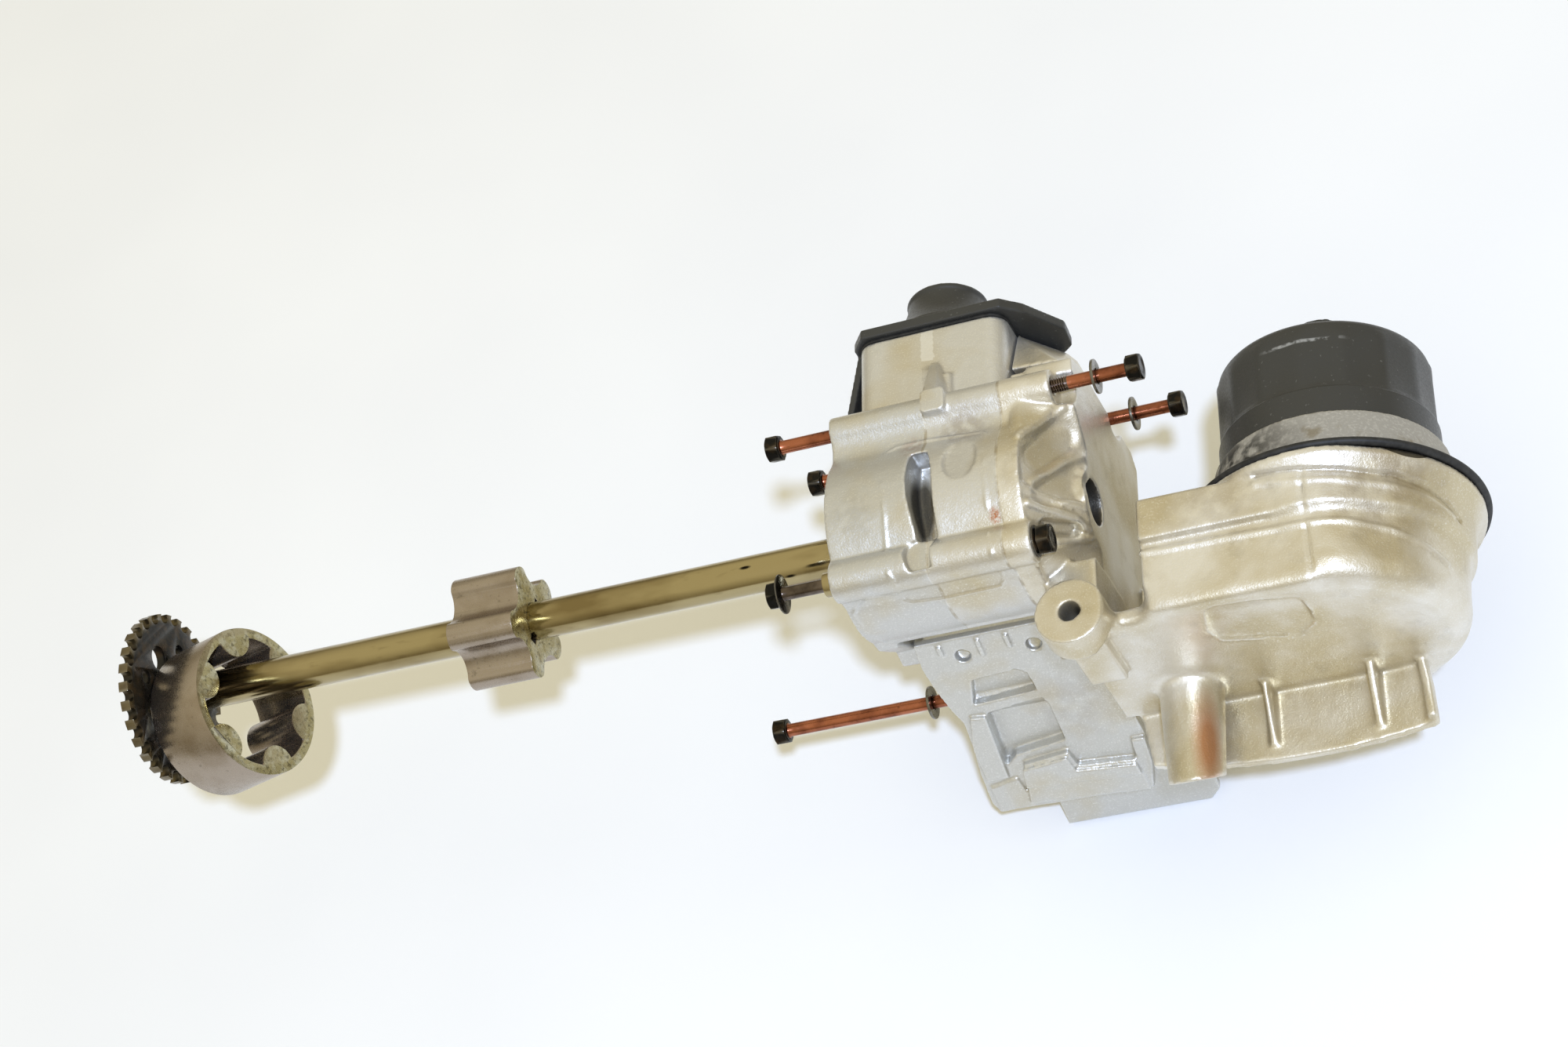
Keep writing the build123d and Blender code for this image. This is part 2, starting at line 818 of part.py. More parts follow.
    # slanted end of the post
    slant = radians(post_slant)
    end_plane = Plane(
        origin=(post_x, post_low + post_tip_r * tan(slant), post_z),
        x_dir=(1, 0, 0),
        z_dir=(0, -cos(slant), -sin(slant)),
    )
    with BuildSketch(end_plane):
        Circle(3 * post_r)
    extrude(amount=post_r, mode=Mode.SUBTRACT)
    # tapped boss and the block that carries it
    with BuildSketch(Plane.XY.offset(boss_root)):
        with Locations((boss_x, boss_y)):
            Circle(boss_r)
    extrude(amount=boss_face - boss_root)
    with BuildSketch(Plane.XY.offset(boss_block_deep)):
        with BuildLine():
            Polyline(
                (slope_left - 2, body_low + 6),
                (slope_left - 1, body_low - 6),
                (slope_left + 5, boss_y - 6),
                (cover_face + 1, boss_y - 6),
                (cover_face + 1, body_low + 6),
                close=True,
            )
        make_face()
    extrude(amount=boss_root + 3 - boss_block_deep)
    # bores
    with BuildSketch(level(housing_low + floor_thick)):
        with Locations((filter_x, -filter_z)):
            Circle(bowl_r)
    extrude(amount=housing_top - housing_low, mode=Mode.SUBTRACT)
    with BuildSketch(across(joint2)):
        Circle(bore_r)
    extrude(amount=cover_length, mode=Mode.SUBTRACT)
    add(long_hole(tube_y, tube_z, joint2, tube_end, hole_r), mode=Mode.SUBTRACT)
    add(long_hole(tube_y, tube_z, tube_end, cover_face, washer_r + 1), mode=Mode.SUBTRACT)
    # room for the bracket plate
    with BuildSketch(bracket_plane(bracket_thick)):
        with Locations((joint2 + 8, -20)):
            Rectangle(16, 54)
    extrude(amount=body_r, mode=Mode.SUBTRACT)
    add(long_hole(foot_y, foot_z, slope_left + cover_bolt_seat, cover_face, bolt_head + 3), mode=Mode.SUBTRACT)
    with BuildSketch(across(slope_left - 1)):
        with Locations((foot_y, foot_z)):
            Circle(foot_r)
    extrude(amount=cover_bolt_seat + 1)
    add(long_hole(foot_y, foot_z, joint2, slope_left + cover_bolt_seat, hole_r), mode=Mode.SUBTRACT)
    add(long_hole(edge_bolt_y, edge_bolt_z, upper_left, edge_boss_face, hole_r), mode=Mode.SUBTRACT)
    add(long_hole(edge_bolt_y, edge_bolt_z, edge_boss_face, cover_face + 1, washer_r + 1.5), mode=Mode.SUBTRACT)
    with BuildSketch(Plane.XY.offset(boss_face)):
        with Locations((boss_x, boss_y)):
            Circle(boss_hole_r)
    extrude(amount=-boss_hole_depth, mode=Mode.SUBTRACT)
    with BuildSketch(Plane.XY.offset(arm_far)):
        with Locations((relief_x, relief_y)):
            Circle(relief_r + running_gap)
    extrude(amount=relief_depth, mode=Mode.SUBTRACT)
    with BuildSketch(Plane.XY.offset(arm_far)):
        with Locations((relief_x, relief_y)):
            Circle(relief_plug_r + loose_gap)
    extrude(amount=relief_plug_length, mode=Mode.SUBTRACT)
    with BuildSketch(Plane.XY.offset(arm_far)):
        with Locations((relief_x, relief_y)):
            Circle(relief_plug_flats / 2 + 3)
    extrude(amount=-post_r, mode=Mode.SUBTRACT)
finish(rear_casting.part, "rear_casting")


# ---- bushes, sleeves and clip -----------------------------------------------------------------------------------
def bush_solid(left, length):
    with BuildPart() as bush:
        with BuildSketch(across(left)):
            Circle(shaft_r + bush_wall)
            Circle(shaft_r + running_gap, mode=Mode.SUBTRACT)
        extrude(amount=length)
    return bush.part


finish(bush_solid(chamber_floor, front_bush_length), "front_bush")
finish(bush_solid(joint2 + 1, rear_bush_length), "rear_bush")

with BuildPart() as dowel_sleeve:
    with BuildSketch(across(-sleeve_out)):
        with Locations((foot_y, foot_z)):
            Circle(sleeve_r)
            Circle(hole_r, mode=Mode.SUBTRACT)
    extrude(amount=sleeve_out + sleeve_depth)
finish(dowel_sleeve.part, "dowel_sleeve")

# ---- suction head parts ---------------------------------------------------------------------------------------------
plate_low = head_top + gasket_thick
with BuildPart() as suction_gasket:
    with BuildSketch(level(head_top)):
        with Locations(((head_left + head_right) / 2, -(head_near + head_far) / 2)):
            RectangleRounded(head_right - head_left, head_near - head_far, head_corner)
            RectangleRounded(
                head_right - head_left - 2 * head_wall,
                head_near - head_far - 2 * head_wall,
                head_corner - head_wall,
                mode=Mode.SUBTRACT,
            )
    extrude(amount=gasket_thick)
finish(suction_gasket.part, "suction_gasket")

with BuildPart() as suction_cover:
    with BuildSketch(level(plate_low)):
        with BuildLine():
            Polyline(
                (head_left - 3, -15),
                (head_left + 3, -head_near - 2),
                (head_right - 1, -head_near - 2),
                (head_right + 7, -head_near + 5),
                (head_right + 19, 2),
                (head_right + 18, 14),
                (head_right + 9, 22),
                (head_right + 4, -head_far + 2),
                (head_left - 3, -head_far + 2),
                close=True,
            )
        make_face()
    extrude(amount=plate_thick)
    # flared bell
    with BuildSketch(Plane(origin=(bell_x, 0, bell_z), x_dir=(1, 0, 0), z_dir=(0, 0, 1))):
        with BuildLine():
            foot_low = plate_low + plate_thick
            mouth = foot_low + bell_height
            Line((bell_mouth_r - bell_wall, plate_low), (bell_base_r, plate_low))
            Line((bell_base_r, plate_low), (bell_base_r, foot_low + 2))
            ThreePointArc(
                (bell_base_r, foot_low + 2),
                (bell_mouth_r + 2, foot_low + bell_height / 2),
                (bell_mouth_r, mouth - 3),
            )
            Line((bell_mouth_r, mouth - 3), (bell_mouth_r + 0.8, mouth - 1.5))
            Line((bell_mouth_r + 0.8, mouth - 1.5), (bell_mouth_r, mouth))
            Line((bell_mouth_r, mouth), (bell_mouth_r - bell_wall, mouth))
            Line((bell_mouth_r - bell_wall, mouth), (bell_mouth_r - bell_wall, plate_low))
        make_face()
    revolve(axis=Axis((bell_x, 0, bell_z), (0, 1, 0)))
    with BuildSketch(level(plate_low)):
        with Locations((bell_x, -bell_z)):
            Circle(bell_mouth_r - bell_wall)
    extrude(amount=plate_thick + bell_height, mode=Mode.SUBTRACT)
    # apron down the front of the head
    with BuildSketch(Plane.XY.offset(head_far + 4)):
        with BuildLine():
            Polyline(
                (head_left - 3, plate_low + 1),
                (head_left - seat_gap, plate_low + 1),
                (head_left - seat_gap, plate_low - 2),
                (head_left - 5, head_top - 26),
                (head_left - 8, head_top - 26),
                close=True,
            )
        make_face()
    extrude(amount=head_near - head_far - 14)
finish(suction_cover.part, "suction_cover")

with BuildPart() as strainer_screen:
    with BuildSketch(level(plate_low + 1)):
        with Locations((bell_x, -bell_z)):
            Circle(bell_mouth_r - bell_wall - running_gap)
            with GridLocations(4.2, 4.2, 6, 6):
                Rectangle(3, 3, mode=Mode.SUBTRACT)
    extrude(amount=1.2)
finish(strainer_screen.part, "strainer_screen")

# ---- filter parts ----------------------------------------------------------------------------------------------------
neck_low = housing_top + neck_gasket_thick
neck_top = neck_low + neck_height
cap_top = neck_top + cap_height
element_low = housing_low + floor_thick + 4
with BuildPart() as neck_gasket:
    with BuildSketch(level(housing_top)):
        with Locations((filter_x, -filter_z)):
            Circle(flange_r - 1)
            Circle(bowl_r, mode=Mode.SUBTRACT)
    extrude(amount=neck_gasket_thick)
finish(neck_gasket.part, "neck_gasket")

with BuildPart() as filter_neck:
    with BuildSketch(Plane(origin=(filter_x, 0, filter_z), x_dir=(1, 0, 0), z_dir=(0, 0, 1))):
        with BuildLine():
            Polyline(
                (bowl_r, neck_low),
                (flange_r - 3, neck_low),
                (flange_r - 3, neck_low + 2),
                (neck_r, neck_low + 3),
                (neck_top_r, neck_top),
                (cap_r - 1.5, neck_top),
                (cap_r - 1.5, neck_low),
                close=True,
            )
        make_face()
    revolve(axis=Axis((filter_x, 0, filter_z), (0, 1, 0)))
finish(filter_neck.part, "filter_neck")

skirt_r = cap_r - 1.5 - loose_gap
with BuildPart() as filter_cap:
    # plain band, then the flats
    with BuildSketch(level(neck_top + end_gap)):
        with Locations((filter_x, -filter_z)):
            Circle(cap_r)
    extrude(amount=cap_band)
    with BuildSketch(level(neck_top + end_gap + cap_band)):
        with Locations((filter_x, -filter_z)):
            RegularPolygon(cap_r - 0.9, cap_flats, major_radius=False)
    extrude(amount=cap_height - cap_band - end_gap)
    fillet(filter_cap.faces().sort_by(Axis.Y)[-1].edges(), 4)
    with BuildSketch(level(cap_top)):
        with Locations((filter_x, -filter_z)):
            RegularPolygon(cap_hex / 2, 6, major_radius=False)
    extrude(amount=cap_hex_height)
    with BuildSketch(level(neck_top + end_gap)):
        with Locations((filter_x, -filter_z)):
            Circle(skirt_r)
    extrude(amount=-cap_skirt)
    with BuildSketch(level(neck_top - cap_skirt)):
        with Locations((filter_x, -filter_z)):
            Circle(skirt_r - cap_wall)
    extrude(amount=cap_height + cap_skirt - cap_wall - 1, mode=Mode.SUBTRACT)
    # groove for the ring seal
    with BuildSketch(level(neck_top - cap_skirt + 4)):
        with Locations((filter_x, -filter_z)):
            Circle(skirt_r + 1)
            Circle(skirt_r - 1.6, mode=Mode.SUBTRACT)
    extrude(amount=3, mode=Mode.SUBTRACT)
finish(filter_cap.part, "filter_cap")

with BuildPart() as cap_ring_seal:
    with BuildSketch(level(neck_top - cap_skirt + 4 + 0.2)):
        with Locations((filter_x, -filter_z)):
            Circle(skirt_r + 0.15)
            Circle(skirt_r - 1.4, mode=Mode.SUBTRACT)
    extrude(amount=2.6)
finish(cap_ring_seal.part, "cap_ring_seal")

with BuildPart() as filter_element:
    with BuildSketch(level(element_low)):
        with Locations((filter_x, -filter_z)):
            Circle(element_r)
            Circle(element_core_r, mode=Mode.SUBTRACT)
    extrude(amount=element_length)
    with BuildSketch(level(element_low + 3)):
        with Locations((filter_x, -filter_z)):
            with PolarLocations(element_r, 36):
                Rectangle(7, 2.4, mode=Mode.ADD)
            Circle(element_core_r + 4, mode=Mode.SUBTRACT)
    extrude(amount=element_length - 6, mode=Mode.SUBTRACT)
finish(filter_element.part, "filter_element")

with BuildPart() as filter_standpipe:
    with BuildSketch(level(housing_low + floor_thick)):
        with Locations((filter_x, -filter_z)):
            Circle(element_core_r - 1)
    extrude(amount=4)
    with BuildSketch(level(housing_low + floor_thick + 4)):
        with Locations((filter_x, -filter_z)):
            Circle(pipe_r)
    extrude(amount=element_length - 10)
    with BuildSketch(level(housing_low + floor_thick + 4)):
        with Locations((filter_x, -filter_z)):
            Circle(pipe_r - 2)
    extrude(amount=element_length, mode=Mode.SUBTRACT)
finish(filter_standpipe.part, "filter_standpipe")

# ---- relief valve -------------------------------------------------------------------------------------------------------
relief_top = arm_far + relief_depth
piston_low = relief_top - end_gap - relief_piston_length
spring_low = arm_far + relief_plug_length
with BuildPart() as relief_piston:
    with BuildSketch(Plane.XY.offset(piston_low)):
        with Locations((relief_x, relief_y)):
            Circle(relief_r)
    extrude(amount=relief_piston_length)
    with BuildSketch(Plane.XY.offset(piston_low)):
        with Locations((relief_x, relief_y)):
            Circle(relief_r - 2)
    extrude(amount=relief_piston_length - 4, mode=Mode.SUBTRACT)
finish(relief_piston.part, "relief_piston")

spring_space = piston_low - spring_low
spring_start = (relief_x + relief_r - 2.6, relief_y, spring_low + relief_wire / 2)
with BuildPart() as relief_spring:
    with BuildLine():
        Helix(
            pitch=(spring_space - relief_wire) / relief_turns,
            height=spring_space - relief_wire,
            radius=relief_r - 2.6,
            center=(relief_x, relief_y, spring_low + relief_wire / 2),
        )
    with BuildSketch(Plane(origin=spring_start, x_dir=(1, 0, 0), z_dir=(0, 1, 0))):
        Circle(relief_wire / 2)
    sweep(is_frenet=True)
finish(relief_spring.part, "relief_spring")

with BuildPart() as relief_plug:
    with BuildSketch(Plane.XY.offset(arm_far)):
        with Locations((relief_x, relief_y)):
            Circle(relief_plug_r)
    extrude(amount=relief_plug_length)
    with BuildSketch(Plane.XY.offset(arm_far)):
        with Locations((relief_x, relief_y)):
            RegularPolygon(relief_plug_flats / 2, 6, major_radius=False)
    extrude(amount=-5)
finish(relief_plug.part, "relief_plug")


# ---- bracket and lower plate ------------------------------------------------------------------------------------
bracket_outline = [
    (10, 7),
    (9, -6),
    (10.5, -19),
    (13, -31),
    (15.5, -39),
    (14.6, -53),
    (12.5, -68),
    (11.5, -86),
    (13.6, bracket_low),
    (81, bracket_low - 1),
    (85, -77),
    (86, -63),
    (85, -50),
    (84, -35),
    (81, -18),
    (78.5, -6),
    (73.5, -1),
    (66, 3),
    (66, 7),
]
upper_pocket = [(26.8, -16.8), (46.5, -15.2), (50, -18.3), (51, -28.3), (31.5, -29.6), (23, -30)]
lower_pocket = [(26.8, -35.8), (51.5, -32.6), (53.2, -37), (53.4, -57.7), (30.6, -61.3), (25, -66)]
left_rim = [(19.6, -35.4), (26.2, -36.2), (24.5, -66), (24.2, -71.5), (14.6, -72.2), (15, -53)]
right_rim = [(80, -63), (85.8, -63), (84.8, -77), (81, -91.5), (79, -75)]
lower_bar = [(32.8, -65), (53.1, -62.4), (54.9, -70.6), (79, -72.9), (80, -91), (28.5, -87.6)]
bar_step = [(32, -66.5), (52, -64), (53.6, -72), (79, -74.5), (79.4, -80.5), (30.4, -77)]
low_strip = [(14.5, -76), (27, -73), (30, -90), (14.5, -90.5)]


def plate_piece(points, depth, thickness):
    """Flat piece with this outline in the bracket's plane, its near face so deep behind it."""
    with BuildPart(mode=Mode.PRIVATE) as piece:
        with BuildSketch(bracket_plane(depth + thickness)):
            with BuildLine():
                Polyline(*points, close=True)
            make_face()
        extrude(amount=thickness)
    return piece.part


with BuildPart() as ladder_bracket:
    add(plate_piece(bracket_outline, 0, bracket_thick))
    add(plate_piece(upper_pocket, 0, bracket_thick), mode=Mode.SUBTRACT)
    add(plate_piece(lower_pocket, 0, bracket_thick), mode=Mode.SUBTRACT)
    with BuildSketch(bracket_plane(bracket_thick)):
        with Locations((71, -12)):
            Rectangle(9, 4)
    extrude(amount=bracket_thick, mode=Mode.SUBTRACT)
    # wall behind the pockets
    with BuildSketch(bracket_plane(bracket_thick + bracket_back)):
        with Locations((38, -41)):
            Rectangle(36, 56)
    extrude(amount=bracket_back)
    # raised bar in two steps, rims and the strip in the low corner
    add(plate_piece(lower_bar, -3, 3))
    add(plate_piece(bar_step, -4.6, 1.6))
    add(plate_piece(left_rim, -2, 2))
    add(plate_piece(right_rim, -2, 2))
    add(plate_piece(low_strip, -1.2, 1.2))
    # three short ribs below the castings
    for rib_x, rib_low in ((20, 0), (36.5, -4), (48.5, -2.5)):
        rib = [(rib_x - 1, rib_low), (rib_x + 1, rib_low), (rib_x + 1, 5), (rib_x - 1, 5)]
        add(plate_piece(rib, -1.5, 1.5))
    # boss for the long bolt behind the plate
    with BuildSketch(across(bracket_boss_left)):
        with Locations((long_bolt_y, long_bolt_z)):
            Circle(bracket_boss_r)
    extrude(amount=bracket_boss_right - bracket_boss_left)
    add(
        long_hole(long_bolt_y, long_bolt_z, bracket_boss_left, bracket_boss_right, hole_r),
        mode=Mode.SUBTRACT,
    )
    # screw holes in the upper edge and seats in the low end
    with BuildSketch(bracket_plane(bracket_thick)):
        with Locations((28, -3), (58, -4)):
            Circle(hole_r)
    extrude(amount=bracket_thick, mode=Mode.SUBTRACT)
finish(ladder_bracket.part, "ladder_bracket")

lower_seats = [(50, lower_plate_seat), (74, lower_plate_seat)]
lower_outline = [
    (lower_plate_left, lower_plate_low),
    (lower_plate_right - 5, lower_plate_low),
    (lower_plate_right, lower_plate_low + 5),
    (lower_plate_right, lower_plate_top - 8),
    (lower_plate_right - 14, lower_plate_top),
    (lower_plate_left + 4, lower_plate_top),
    (lower_plate_left, lower_plate_top - 6),
]
with BuildPart() as lower_plate:
    add(plate_piece(lower_outline, bracket_thick + lower_plate_gap - lower_plate_thick, lower_plate_thick))
    with BuildSketch(bracket_plane(bracket_thick + lower_plate_gap - lower_plate_thick)):
        with Locations(*lower_seats):
            Circle(5.5)
    extrude(amount=lower_plate_gap - lower_plate_thick)
    with BuildSketch(bracket_plane(bracket_thick + lower_plate_gap)):
        with Locations(*lower_seats):
            Circle(hole_r)
    extrude(amount=lower_plate_gap, mode=Mode.SUBTRACT)
finish(lower_plate.part, "lower_plate")


# ---- bolts and washers --------------------------------------------------------------------------------------------
def bolt_solid(plane, length, shank_r=bolt_shank_r, flats=bolt_flats, head=bolt_head, flange=0.0):
    """Hex bolt: the head stands up from the plane, the shank goes down from it."""
    with BuildPart() as bolt:
        with BuildSketch(plane):
            RegularPolygon(flats / 2, 6, major_radius=False)
        extrude(amount=head)
        if flange:
            with BuildSketch(plane):
                Circle(flange)
            extrude(amount=1.6)
        with BuildSketch(plane):
            Circle(shank_r)
        extrude(amount=-length)
    return bolt.part


def toward_left(x, y, z):
    return Plane(origin=(x, y, z), x_dir=(0, 1, 0), z_dir=(-1, 0, 0))


def toward_right(x, y, z):
    return Plane(origin=(x, y, z), x_dir=(0, 1, 0), z_dir=(1, 0, 0))


def washer_solid(x, y, z):
    with BuildPart() as washer:
        with BuildSketch(toward_right(x, y, z)):
            Circle(washer_r)
            Circle(thread_r + 0.2, mode=Mode.SUBTRACT)
        extrude(amount=washer_thick)
    return washer.part


finish(bolt_solid(toward_left(-front_bolt_out, tube_y, tube_z), front_bolt_length), "front_upper_bolt")
finish(bolt_solid(toward_left(-side_bolt_out, side_bolt_y, side_bolt_z), side_bolt_length), "front_side_bolt")
finish(
    bolt_solid(toward_left(-foot_bolt_out, foot_y, foot_z), foot_bolt_length, flange=8.0),
    "front_lower_bolt",
)
finish(
    bolt_solid(toward_left(long_bolt_head, long_bolt_y, long_bolt_z), long_bolt_length),
    "ladder_bolt",
)
finish(
    bolt_solid(toward_right(tube_end + rear_bolt_out, tube_y, tube_z), rear_bolt_length),
    "rear_upper_bolt",
)
finish(
    bolt_solid(
        toward_right(edge_boss_face + edge_bolt_out, edge_bolt_y, edge_bolt_z), edge_bolt_length
    ),
    "rear_edge_bolt",
)
finish(
    bolt_solid(
        toward_right(slope_left + cover_bolt_seat, foot_y, foot_z),
        cover_bolt_length,
        flats=cover_bolt_flats,
        head=cover_bolt_head,
        flange=cover_bolt_flange,
    ),
    "cover_bolt",
)
finish(washer_solid(long_washer_at, long_bolt_y, long_bolt_z), "ladder_washer")
finish(washer_solid(rear_washer_at, tube_y, tube_z), "rear_upper_washer")
finish(washer_solid(edge_washer_at, edge_bolt_y, edge_bolt_z), "rear_edge_washer")
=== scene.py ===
import json
import math

import bmesh
import bpy
import numpy as np
from mathutils import Matrix, Vector

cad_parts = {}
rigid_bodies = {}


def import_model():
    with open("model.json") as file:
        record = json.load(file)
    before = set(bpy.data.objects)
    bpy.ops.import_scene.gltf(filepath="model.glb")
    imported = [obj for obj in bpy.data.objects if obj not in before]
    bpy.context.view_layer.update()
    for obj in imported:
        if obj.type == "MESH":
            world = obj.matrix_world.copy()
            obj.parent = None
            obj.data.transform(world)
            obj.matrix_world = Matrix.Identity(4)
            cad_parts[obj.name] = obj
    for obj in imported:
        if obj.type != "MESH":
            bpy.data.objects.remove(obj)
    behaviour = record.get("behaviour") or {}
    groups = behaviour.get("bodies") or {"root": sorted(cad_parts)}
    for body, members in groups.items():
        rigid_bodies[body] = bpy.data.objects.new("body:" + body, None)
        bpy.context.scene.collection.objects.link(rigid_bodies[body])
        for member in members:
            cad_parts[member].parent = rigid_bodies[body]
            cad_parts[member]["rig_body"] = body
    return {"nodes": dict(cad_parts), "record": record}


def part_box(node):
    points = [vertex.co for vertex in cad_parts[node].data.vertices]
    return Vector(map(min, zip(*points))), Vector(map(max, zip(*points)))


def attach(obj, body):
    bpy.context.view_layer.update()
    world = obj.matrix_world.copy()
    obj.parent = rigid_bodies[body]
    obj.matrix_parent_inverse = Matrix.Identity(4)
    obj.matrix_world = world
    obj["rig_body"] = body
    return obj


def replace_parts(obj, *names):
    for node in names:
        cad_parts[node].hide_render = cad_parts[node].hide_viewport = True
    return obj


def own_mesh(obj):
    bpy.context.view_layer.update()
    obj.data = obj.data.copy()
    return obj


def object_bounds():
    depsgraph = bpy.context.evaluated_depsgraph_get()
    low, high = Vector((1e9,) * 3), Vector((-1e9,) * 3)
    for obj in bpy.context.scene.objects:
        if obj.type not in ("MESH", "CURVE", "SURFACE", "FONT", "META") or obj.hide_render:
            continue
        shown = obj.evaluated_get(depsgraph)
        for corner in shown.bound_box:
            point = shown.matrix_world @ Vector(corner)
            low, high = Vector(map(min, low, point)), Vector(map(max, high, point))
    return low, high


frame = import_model()
nodes = frame["nodes"]
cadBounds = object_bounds()
mm = 0.001
slotOf = {part["node"]: part["material_slot"] for part in frame["record"]["subparts"]}
filterCentre = (185.3, -43.0)  # X and Z in mm of the axis that the filter, its collar and its cap share


def srgb(code):
    # hex sRGB to the linear colour that shader sockets take
    values = [int(code[i:i + 2], 16) / 255 for i in (1, 3, 5)]
    return tuple(c / 12.92 if c <= 0.04045 else ((c + 0.055) / 1.055) ** 2.4 for c in values) + (1.0,)


def addNode(tree, kind, inputs, output=0, **settings):
    # inputs go by name or number and hold a value or another node's output
    node = tree.nodes.new(kind)
    for key, value in settings.items():
        setattr(node, key, value)
    for key, value in inputs.items():
        if isinstance(value, bpy.types.NodeSocket):
            tree.links.new(value, node.inputs[key])
        else:
            node.inputs[key].default_value = value
    return node.outputs[output]


def newMaterial(name, **surface):
    # a Principled shader with its fixed values; returns material, tree, shader and the place on the object
    material = bpy.data.materials.new(name)
    material.use_nodes = True
    tree = material.node_tree
    shader = tree.nodes["Principled BSDF"]
    for key, value in surface.items():
        shader.inputs[key.replace("_", " ")].default_value = value
    return material, tree, shader, addNode(tree, "ShaderNodeTexCoord", {}, "Object")


def patches(tree, place, sizeMm, low, high, amount=1.0, detail=3.0):
    # a 0 to amount mask in patches about sizeMm across
    pattern = {"Vector": place, "Scale": 1 / (sizeMm * mm), "Detail": detail}
    noise = addNode(tree, "ShaderNodeTexNoise", pattern)
    reach = {"Value": noise, "From Min": low, "From Max": high, "To Max": amount}
    return addNode(tree, "ShaderNodeMapRange", reach)


def spot(tree, place, centreMm, radiusMm, edgeMm, amount=1.0, stretch=(1, 1, 1)):
    # a mask that is amount inside radiusMm of a point and fades over edgeMm
    # a stretch under 1 makes it wider along that axis
    middle = tuple(c * mm * s for c, s in zip(centreMm, stretch))
    scaled = addNode(tree, "ShaderNodeVectorMath", {0: place, 1: stretch}, operation="MULTIPLY")
    away = addNode(tree, "ShaderNodeVectorMath", {0: scaled, 1: middle}, "Value", operation="DISTANCE")
    reach = {"Value": away, "From Min": (radiusMm + edgeMm) * mm, "From Max": radiusMm * mm, "To Max": amount}
    return addNode(tree, "ShaderNodeMapRange", reach)


def band(tree, place, axis, middleMm, halfMm, edgeMm, amount=1.0):
    # a mask that is amount in a slice across one axis
    along = addNode(tree, "ShaderNodeSeparateXYZ", {0: place}, axis)
    off = addNode(tree, "ShaderNodeMath", {0: along, 1: middleMm * mm}, operation="SUBTRACT")
    off = addNode(tree, "ShaderNodeMath", {0: off}, operation="ABSOLUTE")
    reach = {"Value": off, "From Min": (halfMm + edgeMm) * mm, "From Max": halfMm * mm, "To Max": amount}
    return addNode(tree, "ShaderNodeMapRange", reach)


def product(tree, *masks):
    # a mask that shows only where all of these do
    result = masks[0]
    for mask in masks[1:]:
        result = addNode(tree, "ShaderNodeMath", {0: result, 1: mask}, operation="MULTIPLY")
    return result


def layered(tree, base, layers):
    # each layer's colour is painted over the ones before it where its mask is 1
    colour = base if isinstance(base, bpy.types.NodeSocket) else srgb(base)
    for mask, shade in layers:
        colour = addNode(tree, "ShaderNodeMix", {0: mask, 6: colour, 7: srgb(shade)}, 2, data_type="RGBA")
    return colour


def finishShader(tree, shader, colour, roughness=None, heights=()):
    # heights are (height, depth in mm) pairs, coarse first
    tree.links.new(colour, shader.inputs["Base Color"])
    if roughness:
        tree.links.new(roughness, shader.inputs["Roughness"])
    normal = None
    for height, depthMm in heights:
        inputs = {"Height": height, "Distance": depthMm * mm}
        if normal:
            inputs["Normal"] = normal
        normal = addNode(tree, "ShaderNodeBump", inputs)
        tree.links.new(normal, shader.inputs["Normal"])


castValues = {
    "grainMm": 0.7,        # shot-blast dimples are about 0.2 mm, drawn coarser so that they show
    "lumpMm": 5.0,
    "shadeMm": 38.0,
    "bright": "#ECEBE6",
    "warm": "#C4B795",
    "grimeAndShade": "#5E5440",
    "sealant": "#8A7542",
    "sealantReachMm": 50,  # it shows only this far from the shaft along Y
}


